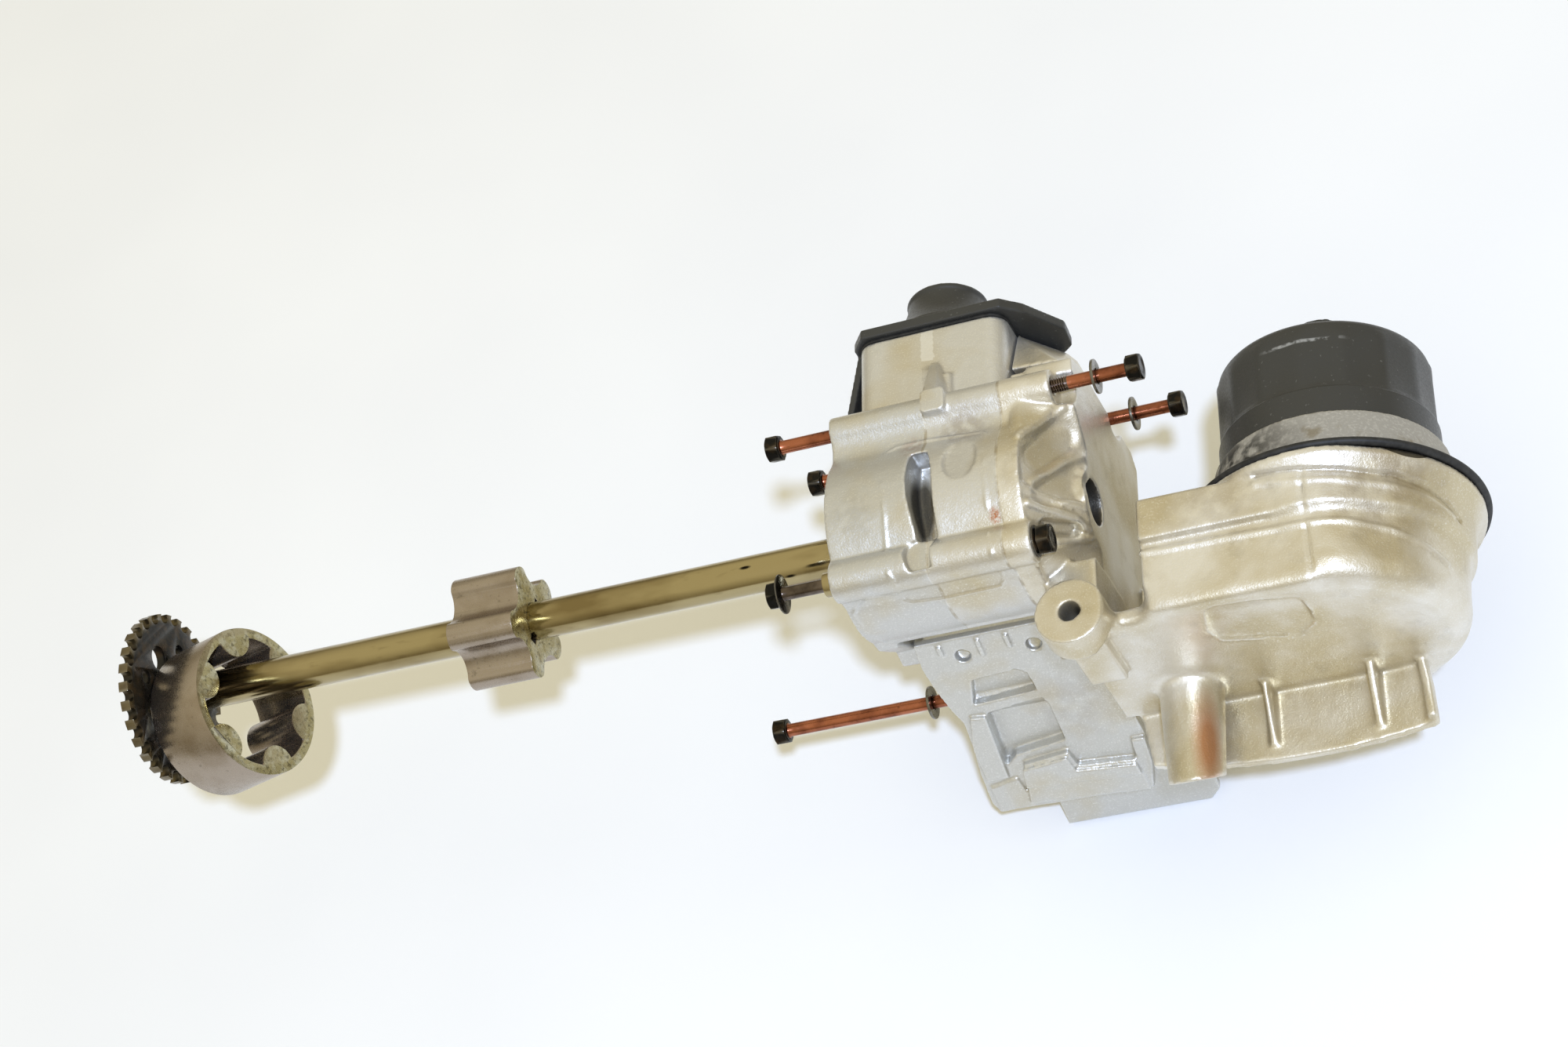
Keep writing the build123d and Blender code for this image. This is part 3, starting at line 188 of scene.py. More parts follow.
def dieCastAluminium(name, clean, warmth, stains=(), joints=(), shades=()):
    # die-cast aluminium, shot-blasted: satin grey with a fine sparkle, pale worn edges, brown oil stains and
    # grime; hollows get grime and painted shade
    # stains are ragged and shades even, mostly painted shade inside holes and slots; a joint is its X and
    # half the width of its line of sealant, in mm
    material, tree, shader, place = newMaterial(name, Metallic=0.8, Roughness=0.4)
    fine, coarse = (1 / (castValues[key] * mm) for key in ("grainMm", "lumpMm"))
    grain = addNode(tree, "ShaderNodeTexNoise", {"Vector": place, "Scale": fine, "Detail": 2.0})
    lump = addNode(tree, "ShaderNodeTexNoise", {"Vector": place, "Scale": coarse, "Detail": 4.0})
    curve = addNode(tree, "ShaderNodeNewGeometry", {}, "Pointiness")
    edge, hollowGrimeAndShade, sparkle = (addNode(tree, "ShaderNodeMapRange", reach) for reach in (
        {"Value": curve, "From Min": 0.51, "From Max": 0.58, "To Max": 0.6},
        {"Value": curve, "From Min": 0.485, "From Max": 0.42, "To Max": 0.75},
        {"Value": grain, "From Min": 0.56, "From Max": 0.72, "To Max": 0.4},
    ))
    low, high = 0.55 - 0.25 * warmth, 0.8 - 0.25 * warmth
    layers = [
        (patches(tree, place, castValues["shadeMm"], low, high, 0.9), castValues["warm"]),
        (patches(tree, place, 9.0, 0.58, 0.78, 0.25 * warmth, 6.0), castValues["grimeAndShade"]),
        (sparkle, castValues["bright"]),
        (edge, castValues["bright"]),
        # painted shade: hollows get the grime colour in patches, for oil dirt in them and for the shade that
        # falls there
        (product(tree, hollowGrimeAndShade, patches(tree, place, 7.0, 0.3, 0.6)), castValues["grimeAndShade"]),
    ]
    for centreMm, radiusMm, edgeMm, amount, shade, stretch in stains:
        spread = spot(tree, place, centreMm, radiusMm, edgeMm, amount, stretch)
        ragged = patches(tree, place, radiusMm * 0.8, 0.34, 0.56, 1.0, 6.0)
        layers.append((product(tree, spread, ragged), shade))
    for middleMm, halfMm in joints:
        squeezed = patches(tree, place, 6.0, 0.4, 0.6, 0.55)
        below = band(tree, place, "Y", 0, castValues["sealantReachMm"], 1)
        seam = band(tree, place, "X", middleMm, halfMm, 0.6)
        layers.append((product(tree, seam, squeezed, below), castValues["sealant"]))
    for centreMm, radiusMm, edgeMm, amount, shade, stretch in shades:
        layers.append((spot(tree, place, centreMm, radiusMm, edgeMm, amount, stretch), shade))
    colour = layered(tree, clean, layers)
    gloss = {"Value": grain, "From Min": 0.3, "From Max": 0.7, "To Min": 0.5, "To Max": 0.3}
    rough = addNode(tree, "ShaderNodeMapRange", gloss)
    finishShader(tree, shader, colour, rough, [(lump, 0.25), (grain, 0.10)])
    return material


def groundSteel():
    # ground steel under a film of old oil: brown-olive, nearly mirror-like, with a few dark pits
    material, tree, shader, place = newMaterial("groundSteelShaft", Metallic=1.0, Roughness=0.2)
    along = addNode(tree, "ShaderNodeVectorMath", {0: place, 1: (0.3, 1, 1)}, operation="MULTIPLY")
    pits = addNode(tree, "ShaderNodeTexVoronoi", {"Vector": along, "Scale": 1 / (9 * mm)}, "Distance")
    pits = addNode(tree, "ShaderNodeMapRange", {"Value": pits, "From Min": 0.10, "From Max": 0.05})
    layers = [
        (patches(tree, along, 14.0, 0.45, 0.7), "#83734F"),
        (patches(tree, along, 4.0, 0.6, 0.74, 0.4, 6.0), "#6A5A3A"),
        (pits, "#1E1A14"),
    ]
    smear = addNode(tree, "ShaderNodeTexNoise", {"Vector": along, "Scale": 1 / (5 * mm), "Detail": 5.0})
    gloss = {"Value": smear, "From Min": 0.35, "From Max": 0.7, "To Min": 0.12, "To Max": 0.24}
    rough = addNode(tree, "ShaderNodeMapRange", gloss)
    finishShader(tree, shader, layered(tree, "#A89A74", layers), rough, [(smear, 0.05)])
    return material


def sinteredSteel():
    # pressed and sintered steel: smooth brown-grey flanks, end faces mottled yellow and porous under oil
    material, tree, shader, place = newMaterial("sinteredSteel", Metallic=0.95, Roughness=0.3)
    pores = addNode(tree, "ShaderNodeTexNoise", {"Vector": place, "Scale": 1 / (0.8 * mm), "Detail": 3.0})
    facing = addNode(tree, "ShaderNodeTexCoord", {}, "Normal")
    facing = addNode(tree, "ShaderNodeSeparateXYZ", {0: facing}, "X")
    facing = addNode(tree, "ShaderNodeMath", {0: facing}, operation="ABSOLUTE")
    ends = addNode(tree, "ShaderNodeMapRange", {"Value": facing, "From Min": 0.8, "From Max": 0.95})
    layers = [
        (patches(tree, place, 14.0, 0.45, 0.7, 0.6), "#857560"),
        (ends, "#A49A72"),
        (product(tree, ends, patches(tree, place, 4.0, 0.45, 0.6, 0.8, 5.0)), "#BDB89E"),
        (product(tree, ends, patches(tree, place, 1.8, 0.54, 0.66, 0.7)), "#5A543E"),
        (patches(tree, place, 2.2, 0.64, 0.74, 0.35), "#4F4A3E"),
    ]
    gloss = {"Value": pores, "From Min": 0.3, "From Max": 0.7, "To Min": 0.2, "To Max": 0.36}
    rough = addNode(tree, "ShaderNodeMapRange", gloss)
    finishShader(tree, shader, layered(tree, "#A3978A", layers), rough, [(pores, 0.03)])
    return material


def blackOxideSteel(name, tips=None):
    # blackened steel: near black with an oily sheen, brown in patches and pale at worn edges
    # tips are the radii in mm about X between which a toothed rim turns brown
    material, tree, shader, place = newMaterial(name, Metallic=0.85, Roughness=0.36)
    curve = addNode(tree, "ShaderNodeNewGeometry", {}, "Pointiness")
    rubbed = {"Value": curve, "From Min": 0.52, "From Max": 0.62, "To Max": 0.8}
    worn = addNode(tree, "ShaderNodeMapRange", rubbed)
    layers = [(patches(tree, place, 5.0, 0.5, 0.75, 0.8, 5.0), "#4A3A26"), (worn, "#8C867A")]
    if tips:
        across = addNode(tree, "ShaderNodeVectorMath", {0: place, 1: (0, 1, 1)}, operation="MULTIPLY")
        out = addNode(tree, "ShaderNodeVectorMath", {0: across}, "Value", operation="LENGTH")
        reach = {"Value": out, "From Min": tips[0] * mm, "From Max": tips[1] * mm, "To Max": 0.85}
        layers.insert(0, (addNode(tree, "ShaderNodeMapRange", reach), "#6A5C3A"))
    rough = patches(tree, place, 3.0, 0.1, 0.9, 0.6)
    finishShader(tree, shader, layered(tree, "#1B1A18", layers), rough)
    return material


def temperedSteel(name, base, dark):
    # tempered bolt steel: smooth, brown to copper from the heat, with darker patches
    material, tree, shader, place = newMaterial(name, Metallic=1.0, Roughness=0.27)
    layers = [
        (patches(tree, place, 9.0, 0.4, 0.7, 1.0, 5.0), dark),
        (patches(tree, place, 2.5, 0.62, 0.75, 0.5), "#2A1D16"),
    ]
    rough = patches(tree, place, 3.0, 0.0, 1.1, 0.5)
    finishShader(tree, shader, layered(tree, base, layers), rough)
    return material


def platedSteel():
    # dark zinc-plated washer steel: thin dull grey coat, silver where it rubs
    material, tree, shader, place = newMaterial("platedSteel", Metallic=0.95, Roughness=0.38)
    curve = addNode(tree, "ShaderNodeNewGeometry", {}, "Pointiness")
    worn = addNode(tree, "ShaderNodeMapRange", {"Value": curve, "From Min": 0.52, "From Max": 0.6})
    layers = [(patches(tree, place, 3.0, 0.45, 0.65, 0.8, 5.0), "#3A3127"), (worn, "#A9A69D")]
    finishShader(tree, shader, layered(tree, "#3E3B36", layers), patches(tree, place, 2.0, 0.0, 1.1, 0.6))
    return material


capValues = {
    "black": "#2F2F2D",
    "dust": "#2F2E2A",
    "speck": "#6A6963",
    "scuff": "#8B8A85",
    "scuffYMm": 54.0,
    "scuffXMm": 187.0,
}


def glassFilledNylon(name, scuffed=False):
    # injection-moulded glass-filled nylon: black with a soft grey sheen, lightly grained, pale where scuffed
    material, tree, shader, place = newMaterial(name, Roughness=0.38, IOR=1.53)
    grain = addNode(tree, "ShaderNodeTexNoise", {"Vector": place, "Scale": 1 / (0.9 * mm), "Detail": 2.0})
    layers = [
        (patches(tree, place, 18.0, 0.4, 0.7, 0.7), capValues["dust"]),
        (patches(tree, place, 1.5, 0.68, 0.76, 0.5, 2.0), capValues["speck"]),
    ]
    if scuffed:
        line = band(tree, place, "Y", capValues["scuffYMm"], 0.4, 0.6)
        reach = band(tree, place, "X", capValues["scuffXMm"], 9.0, 9.0)
        layers.append((product(tree, line, reach, patches(tree, place, 3.0, 0.4, 0.55)), capValues["scuff"]))
    gloss = {"Value": grain, "From Min": 0.3, "From Max": 0.7, "To Min": 0.32, "To Max": 0.48}
    rough = addNode(tree, "ShaderNodeMapRange", gloss)
    finishShader(tree, shader, layered(tree, capValues["black"], layers), rough, [(grain, 0.04)])
    return material


collarValues = {
    "grey": "#989387",
    "pale": "#B8B2A4",
    "oil": "#6B5C3A",
    "soot": "#1A1812",
    "sootAtMm": (152, 4, -10),
    "sootRadiusMm": 14,
    "sootFadeMm": 26,
}


def greyNylon():
    # light grey moulded collar: chalky and speckled, sooty black where oil and dust sat
    material, tree, shader, place = newMaterial("greyNylon", Roughness=0.55, IOR=1.53)
    speck = addNode(tree, "ShaderNodeTexNoise", {"Vector": place, "Scale": 1 / (0.8 * mm), "Detail": 4.0})
    at, radiusMm, fadeMm = (collarValues[key] for key in ("sootAtMm", "sootRadiusMm", "sootFadeMm"))
    sootSpot = spot(tree, place, at, radiusMm, fadeMm, 1.0, (1, 1.6, 0.8))
    soot = product(tree, sootSpot, patches(tree, place, 6.0, 0.38, 0.56, 1.0, 8.0))
    layers = [
        (patches(tree, place, 1.2, 0.5, 0.7, 0.6), collarValues["pale"]),
        (patches(tree, place, 9.0, 0.58, 0.72, 0.6, 6.0), collarValues["oil"]),
        (soot, collarValues["soot"]),
    ]
    finishShader(tree, shader, layered(tree, collarValues["grey"], layers), None, [(speck, 0.12)])
    return material


def nitrileRubber():
    # moulded nitrile rubber: dull black
    material, tree, shader, place = newMaterial("nitrileRubber", Roughness=0.6, IOR=1.5)
    finishShader(tree, shader, layered(tree, "#121211", [(patches(tree, place, 3.0, 0.4, 0.7), "#2A2926")]))
    return material


def filterPaper():
    # resin-dipped filter paper: soft straw yellow with fibres
    material, tree, shader, place = newMaterial("filterPaper", Roughness=0.85)
    finishShader(tree, shader, layered(tree, "#C2A35A", [(patches(tree, place, 2.0, 0.4, 0.7), "#D8C07C")]))
    return material


def sinteredBronze():
    # sintered bronze bush: warm yellow-brown metal with fine pores, kept dark as painted shade since it sits
    # deep in the bore
    material, tree, shader, place = newMaterial("sinteredBronze", Metallic=1.0, Roughness=0.35)
    layers = [
        (patches(tree, place, 0.8, 0.4, 0.6), "#8F7040"),
        (patches(tree, place, 5.0, 0.55, 0.7, 0.6), "#5E4526"),
    ]
    finishShader(tree, shader, layered(tree, "#6E5430", layers))
    return material


def wovenSteel():
    # drawn stainless wire: bright grey, varnished brown by oil at the crossings
    material, tree, shader, place = newMaterial("wovenSteelWire", Metallic=1.0, Roughness=0.3)
    finishShader(tree, shader, layered(tree, "#A5A195", [(patches(tree, place, 4.0, 0.45, 0.7), "#6E6244")]))
    return material


# each stain or shade: centre, radius and fade in mm, strength, colour, stretch
oilBrown, rust, dull = "#6B5230", "#8A4A1E", "#8E8A7E"
# painted shade inside the slot at the joint, where the two castings meet
windowShade = ((36.5, -3, 24), 3.6, 1.6, 0.85, "#3A352A", (1, 0.3, 0.5))  # dark inside the slot at the joint
frontCast = dieCastAluminium(
    "dieCastAluminiumFront",
    "#C9C8C3",
    0.1,
    [((35, 25, 36), 3, 6, 0.6, rust, (1, 1, 1)), ((12, -8, 36), 6, 8, 0.2, dull, (1, 1, 1))],
    [(39.8, 0.1)],
    [windowShade],
)
middleCast = dieCastAluminium(
    "dieCastAluminiumMiddle",
    "#D1CFC9",
    0.3,
    [
        ((56, 28, 30), 5, 9, 0.3, oilBrown, (1, 1, 1)),
        ((69.5, -18.5, 33), 1.2, 1.6, 0.9, "#A8622F", (1, 0.5, 1)),
    ],
    [(40.2, 0.1), (71.8, 0.1)],
    [windowShade],
)
rearCast = dieCastAluminium(
    "dieCastAluminiumRear",
    "#E4E0D6",
    0.65,
    [
        ((215, -18, 8), 10, 26, 0.35, oilBrown, (1, 1, 1)),
        ((150, -14, 12), 8, 20, 0.2, oilBrown, (1, 1, 1)),
    ],
    [(72.2, 0.1)],
    [
        # the first two shades are painted shade, dark inside the shaft's bore and inside the tapped boss
        ((0, 0, 0), 9.6, 0.12, 0.9, "#2E281C", (0, 1, 1)),  # inside the shaft's bore
        ((93, -58.5, 12), 3.9, 0.4, 0.85, "#3A352B", (1, 1, 0.2)),  # inside the tapped boss
        ((127, -90, -46), 2.5, 5.5, 0.8, "#B0703F", (1, 0.3, 1)),  # a rusty mark down the post
    ],
)
bracketCast = dieCastAluminium(
    "dieCastAluminiumBracket",
    "#CCCBC5",
    0.2,
    [((60, -40, -80), 8, 18, 0.15, oilBrown, (1, 1, 1))],
)

copperShank = temperedSteel("temperedSteelShank", "#AD6C50", "#70402F")
threadSteel = temperedSteel("oiledThreadSteel", "#75675E", "#40342C")
darkShank = temperedSteel("darkenedSteelShank", "#7A6E64", "#3C342E")
blackHead = blackOxideSteel("blackOxideHead")

finishes = {
    "cast_aluminium": bracketCast,
    "steel_shaft": groundSteel(),
    "sintered_steel": sinteredSteel(),
    "black_steel": blackOxideSteel("blackOxideSprocket", (33.0, 36.5)),
    "bolt_steel": copperShank,
    "washer_steel": platedSteel(),
    "bush_bronze": sinteredBronze(),
    "black_plastic": glassFilledNylon("glassFilledNylon"),
    "grey_plastic": greyNylon(),
    "seal_rubber": nitrileRubber(),
    "filter_paper": filterPaper(),
    "screen_steel": wovenSteel(),
}
castFinish = {"front_casting": frontCast, "middle_casting": middleCast, "rear_casting": rearCast}

for name, node in nodes.items():
    for surface in node.material_slots:
        surface.material = castFinish.get(name, finishes[slotOf[name]])
print("materials on", len(nodes), "carried-over nodes")


def placePiece(name, mesh, node, finish, angle=32):
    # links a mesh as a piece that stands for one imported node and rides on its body
    if len(mesh.materials):
        mesh.materials.clear()
    for material in finish if isinstance(finish, (list, tuple)) else [finish]:
        mesh.materials.append(material)
    mesh.shade_smooth()
    mesh.set_sharp_from_angle(angle=math.radians(angle))
    piece = bpy.data.objects.new(name, mesh)
    bpy.context.collection.objects.link(piece)
    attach(piece, nodes[node]["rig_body"])
    return piece


weldMm = 0.002


def weldedMesh(node, flattenDegrees=None):
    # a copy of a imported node's mesh with its split corners joined again, and flat faces merged if asked
    mesh = nodes[node].data.copy()
    shape = bmesh.new()
    shape.from_mesh(mesh)
    bmesh.ops.remove_doubles(shape, verts=shape.verts, dist=weldMm * mm)
    if flattenDegrees:
        bmesh.ops.dissolve_limit(
            shape, angle_limit=math.radians(flattenDegrees), verts=shape.verts, edges=shape.edges
        )
    shape.to_mesh(mesh)
    shape.free()
    return mesh


def applied(mesh, settings):
    # the mesh after modifiers, given as (kind, {property: value})
    holder = bpy.data.objects.new("holder", mesh)
    bpy.context.collection.objects.link(holder)
    for kind, values in settings:
        modifier = holder.modifiers.new(kind.lower(), kind)
        for key, value in values.items():
            setattr(modifier, key, value)
    graph = bpy.context.evaluated_depsgraph_get()
    result = bpy.data.meshes.new_from_object(holder.evaluated_get(graph))
    bpy.data.objects.remove(holder)
    return result


def coordinatesOf(mesh):
    # the mesh's points as rows of x, y and z
    flat = np.empty(len(mesh.vertices) * 3, np.float32)
    mesh.vertices.foreach_get("co", flat)
    return flat.reshape(-1, 3)


def awayFromLine(points, line):
    # each point's distance to a run of straight pieces
    nearest = np.full(len(points), 1e9)
    for start, end in zip(line[:-1], line[1:]):
        run = end - start
        share = np.clip(((points - start) @ run) / (run @ run), 0, 1)
        nearest = np.minimum(nearest, np.linalg.norm(points - (start + share[:, None] * run), axis=1))
    return nearest


# raised and sunk lines on the cast walls, as points on the wall in mm
panelFront = [
    (40.4, 25.7, 29.2), (27.8, 25.6, 29.2), (23.4, 23.2, 30.2), (24.9, 1.7, 38.0), (25.2, -10.0, 36.6),
    (24.0, -21.2, 31.5), (24.9, -34.1, 32.3), (26.9, -37.0, 28.4), (23.9, -35.5, 13.4),
    (26.9, -36.2, 11.5), (40.5, -36.5, 10.3),
]
panelMiddle = [
    (39.2, 25.8, 29.2), (50.7, 24.5, 29.6), (64.1, 23.0, 30.4), (66.5, 20.2, 32.2), (67.3, 1.7, 38.0),
    (67.0, -13.3, 35.6), (66.8, -26.3, 33.6), (67.4, -34.6, 31.9), (66.7, -35.0, 18.7),
    (66.2, -35.5, 13.5), (63.8, -36.4, 10.7), (53.6, -36.5, 10.5), (40.0, -36.5, 10.3),
]
lowFront = [
    (23.0, -35.0, 18.3), (14.3, -37.0, 22.6), (6.7, -35.0, 17.6), (2.5, -36.1, 11.9), (3.5, -37.6, 5.0),
    (4.7, -36.2, -11.3), (5.2, -35.5, -14.8), (19.3, -35.0, -15.7), (26.0, -35.0, -15.5),
]
panelRear = [
    (140.7, -60, 1.3), (137.8, -60, -12.7), (141.3, -60, -21.8), (155.0, -60, -26.0), (158.2, -60, -25.8),
    (164.3, -60, -28.3), (171.8, -60, -27.8), (177.4, -60, -22.9), (179.2, -60, -11.8),
    (176.3, -60, -2.5), (160.7, -60, 2.6), (143.9, -60, 3.7), (140.7, -60, 1.3),
]
wallSeam = [(185.2, -16.0, 13.5), (184.4, -29.0, 12.0), (184.6, -41.5, 9.4), (185.3, -59.0, 8.4)]
domeTop = [(80.9, 14.4, 35.1), (85.3, 20.5, 28.8), (90.6, 27.0, 24.7), (95.3, 30.9, 23.7)]
domeStep = [(84.2, -5.5, 30.0), (88.2, 1.7, 24.9), (92.8, 8.7, 18.8), (98.5, 14.6, 11.1)]
domeRib = [
    (82.5, -15.2, 32.0), (84.0, -15.2, 30.1), (89.8, -15.2, 22.2), (95.6, -15.1, 13.7), (98.7, -16.4, 6.1),
]
domePocket = [(86.5, -20.6, 21.6), (89.7, -19.8, 17.2), (94.6, -18.1, 10.8)]
domeLowRib = [(88.3, -24.4, 14.2), (93.0, -21.4, 8.9), (98.3, -18.2, 3.1)]
domeBowl = [(86.0, 7.0, 28.0), (89.6, 14.1, 23.2), (93.5, 20.0, 19.5)]
domeLowBowl = [(88.4, -8.8, 26.6), (92.4, -2.4, 19.1), (96.4, 2.0, 14.2)]
rimGroove = [
    (167.0, -12.2, 12.9), (179.6, -13.8, 14.5), (185.5, -14.8, 14.2), (202.6, -16.1, 10.7),
    (218.6, -16.2, 2.5), (228.2, -17.3, -7.0), (235.7, -20.0, -18.7), (239.2, -24.2, -27.8),
]
rimRidge = [
    (166.4, -15.1, 11.5), (184.9, -18.4, 13.0), (202.2, -20.0, 10.3), (218.2, -20.5, 2.3),
    (230.1, -22.3, -9.5), (237.3, -25.3, -22.3),
]
bandLow = [
    (119.5, -33.5, 8.5), (133.4, -34.0, 8.5), (151.9, -34.3, 8.5), (170.3, -34.8, 8.5),
    (184.2, -35.6, 9.7), (200.1, -36.1, 7.6), (216.0, -37.7, -0.2), (227.6, -41.2, -12.1),
    (233.6, -44.9, -23.2),
]
armFoot = [(104, -60, 8.5), (140, -60, 8.5), (176, -60, 8.5)]
postRoot = [(106, -61, -49), (110, -61, -44), (119, -61, -42), (128, -61, -44), (132, -61, -49)]
skirtRib = [(149, -63, -60), (149, -86, -62)]
skirtRibTwo = [(184.6, -62, -68), (184.6, -86, -68)]
bowlFootMm = 52
arc = [math.radians(a) for a in range(84, -60, -9)]
centreX, centreZ = filterCentre
bowlFoot = [(centreX + bowlFootMm * math.cos(a), -60, centreZ + bowlFootMm * math.sin(a)) for a in arc]

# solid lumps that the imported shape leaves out, as corner points in mm of the hull round each
tubeGusset = [
    (79.8, 33.6, 30.4), (93, 31, 25.5), (80.9, 14.6, 35.2), (85.3, 20.5, 30.2), (90.6, 27, 26),
    (76, 33, 29), (76, 16, 34), (80, 30, 18), (82, 16, 24),
]
lugShoulder = [
    (70, 86.4, 4), (76, 86.4, -5), (80, 86.4, -10.5), (86, 86.4, -17), (88, 86.4, -24), (70, 86.4, -36),
    (84, 86.4, -36), (70, 62, 14), (93, 58, 18), (96, 62, 0), (97, 64, -18), (70, 68, -36), (84, 68, -36),
]
bracketLip = [
    (14, -24.5, -33.0), (66, -24.5, -33.0), (14, -28.0, -38), (66, -28.0, -38), (14, -20, -38),
    (66, -20, -38), (14, -20, -34), (66, -20, -34),
]
headTab = [
    (39.2, 45, 22), (47.5, 45, 22), (39.2, 45, 33.5), (46, 45, 33.5), (39.4, 60, 26.5), (45, 57, 27.5),
    (39.4, 68.5, 20.6), (43.4, 68.5, 20.6), (39.8, 66, 23.4), (43, 66, 23.4), (47, 57, 22),
]


def plug(x, y, z, radius=4.2, deep=5.0, lean=0.7, proud=1.0):
    # a short cylinder that fills a hole in the bracket's face, which leans back
    ring = [math.tau * k / 12 for k in range(12)]
    rim = [(x + radius * math.cos(a), lean * radius * math.sin(a)) for a in ring]
    top = [(px, y - drop - proud, z - drop + proud) for px, drop in rim]
    return top + [(px, py + deep, pz - deep) for px, py, pz in top]


castings = {
    # voxelMm: grain of the resurfacing; rounds: how often it is smoothed; keep: the share of faces kept
    # joints: X of a joint face in mm and the way it looks; soft: points, reach in mm and rounds
    # lines: points, half width, height (negative sinks) and the share of the width that is flat
    "front_casting": {
        "voxelMm": 0.7, "rounds": 6, "keep": 0.6, "finish": frontCast, "joints": [(40, 1)],
        "lines": [(panelFront, 1.2, 0.6, 0.0), (lowFront, 1.2, 0.5, 0.0)],
    },
    "middle_casting": {
        "voxelMm": 0.7, "rounds": 6, "keep": 0.6, "finish": middleCast, "joints": [(40, -1), (72, 1)],
        "lumps": [headTab],
        "lines": [(panelMiddle, 1.2, 0.6, 0.0)],
    },
    "rear_casting": {
        "voxelMm": 0.9, "rounds": 5, "keep": 0.55, "finish": rearCast, "joints": [(72, -1)], "topY": 86.6,
        "lumps": [tubeGusset, lugShoulder],
        "soft": [
            (armFoot, 13.0, 90), (bowlFoot, 7.0, 60), (postRoot, 5.0, 40), (skirtRib, 5.0, 14),
            (skirtRibTwo, 5.0, 14),
        ],
        "lines": [
            (domeBowl, 9.0, -1.4, 0.5), (domeLowBowl, 8.0, -1.2, 0.4), (domeTop, 3.0, 1.0, 0.1),
            (domeStep, 3.0, 0.9, 0.1), (domePocket, 3.8, -3.4, 0.4), (domeRib, 2.4, 1.2, 0.2),
            (domeLowRib, 2.6, 1.0, 0.2), (panelRear, 1.3, 0.7, 0.0), (wallSeam, 1.6, -0.8, 0.0),
            (rimGroove, 1.8, -1.2, 0.1), (rimRidge, 2.4, 0.9, 0.1), (bandLow, 1.9, 1.1, 0.1),
        ],
        "taper": {
            # how far the bowl's wall leans in at each height, and where along X the lean sets in
            "levels": (-88, -70, -60, -45, -25, -12, -4),
            "inMm": (0, 1.5, 4.0, 4.4, 3.6, 2.4, 2.2),
            "fromX": (190, 216),
            "radiusMm": 53,
        },
    },
    "ladder_bracket": {
        "voxelMm": 0.6, "rounds": 4, "keep": 0.6, "finish": bracketCast,
        "lumps": [plug(26.2, -28.3, -46.9), plug(56.9, -29.7, -47.8), bracketLip],
    },
    "lower_plate": {"voxelMm": 0.6, "rounds": 4, "keep": 0.6, "finish": bracketCast},
    "suction_cover": {"voxelMm": 0.6, "rounds": 5, "keep": 0.6, "finish": finishes["black_plastic"]},
    "filter_neck": {"voxelMm": 0.7, "rounds": 5, "keep": 0.6, "finish": finishes["grey_plastic"]},
}

skinValues = {
    "overrunMm": 1.9,     # how far a joint face runs past its plane while the edges are rounded
    "onFaceM": 1e-5,      # how near its plane a point of a joint face lies
    "smoothing": 0.5,
    "softInner": 1.4,     # above 1, a soft stretch is smoothed in full near its middle
    "sharpDegrees": 60,
}


def withLumps(mesh, lumps):
    # adds each lump to the mesh as the hull of its corners
    shape = bmesh.new()
    shape.from_mesh(mesh)
    for lump in lumps:
        corners = [shape.verts.new([c * mm for c in point]) for point in lump]
        hull = bmesh.ops.convex_hull(shape, input=corners)
        inside = [v for v in hull["geom_interior"] if isinstance(v, bmesh.types.BMVert)]
        bmesh.ops.delete(shape, geom=inside, context="VERTS")
    shape.to_mesh(mesh)
    shape.free()
    return mesh


def relaxed(points, edges, weight, rounds):
    # draws each point towards the middle of its neighbours, as much as its weight
    near = (weight[edges[:, 0]] > 0) | (weight[edges[:, 1]] > 0)
    left, right = edges[near].T
    size = len(points)
    count = np.maximum(np.bincount(left, minlength=size) + np.bincount(right, minlength=size), 1)
    for _ in range(rounds):
        for k in range(3):
            total = np.bincount(left, points[right, k], size) + np.bincount(right, points[left, k], size)
            points[:, k] += 0.5 * weight * (total / count - points[:, k])
    return points


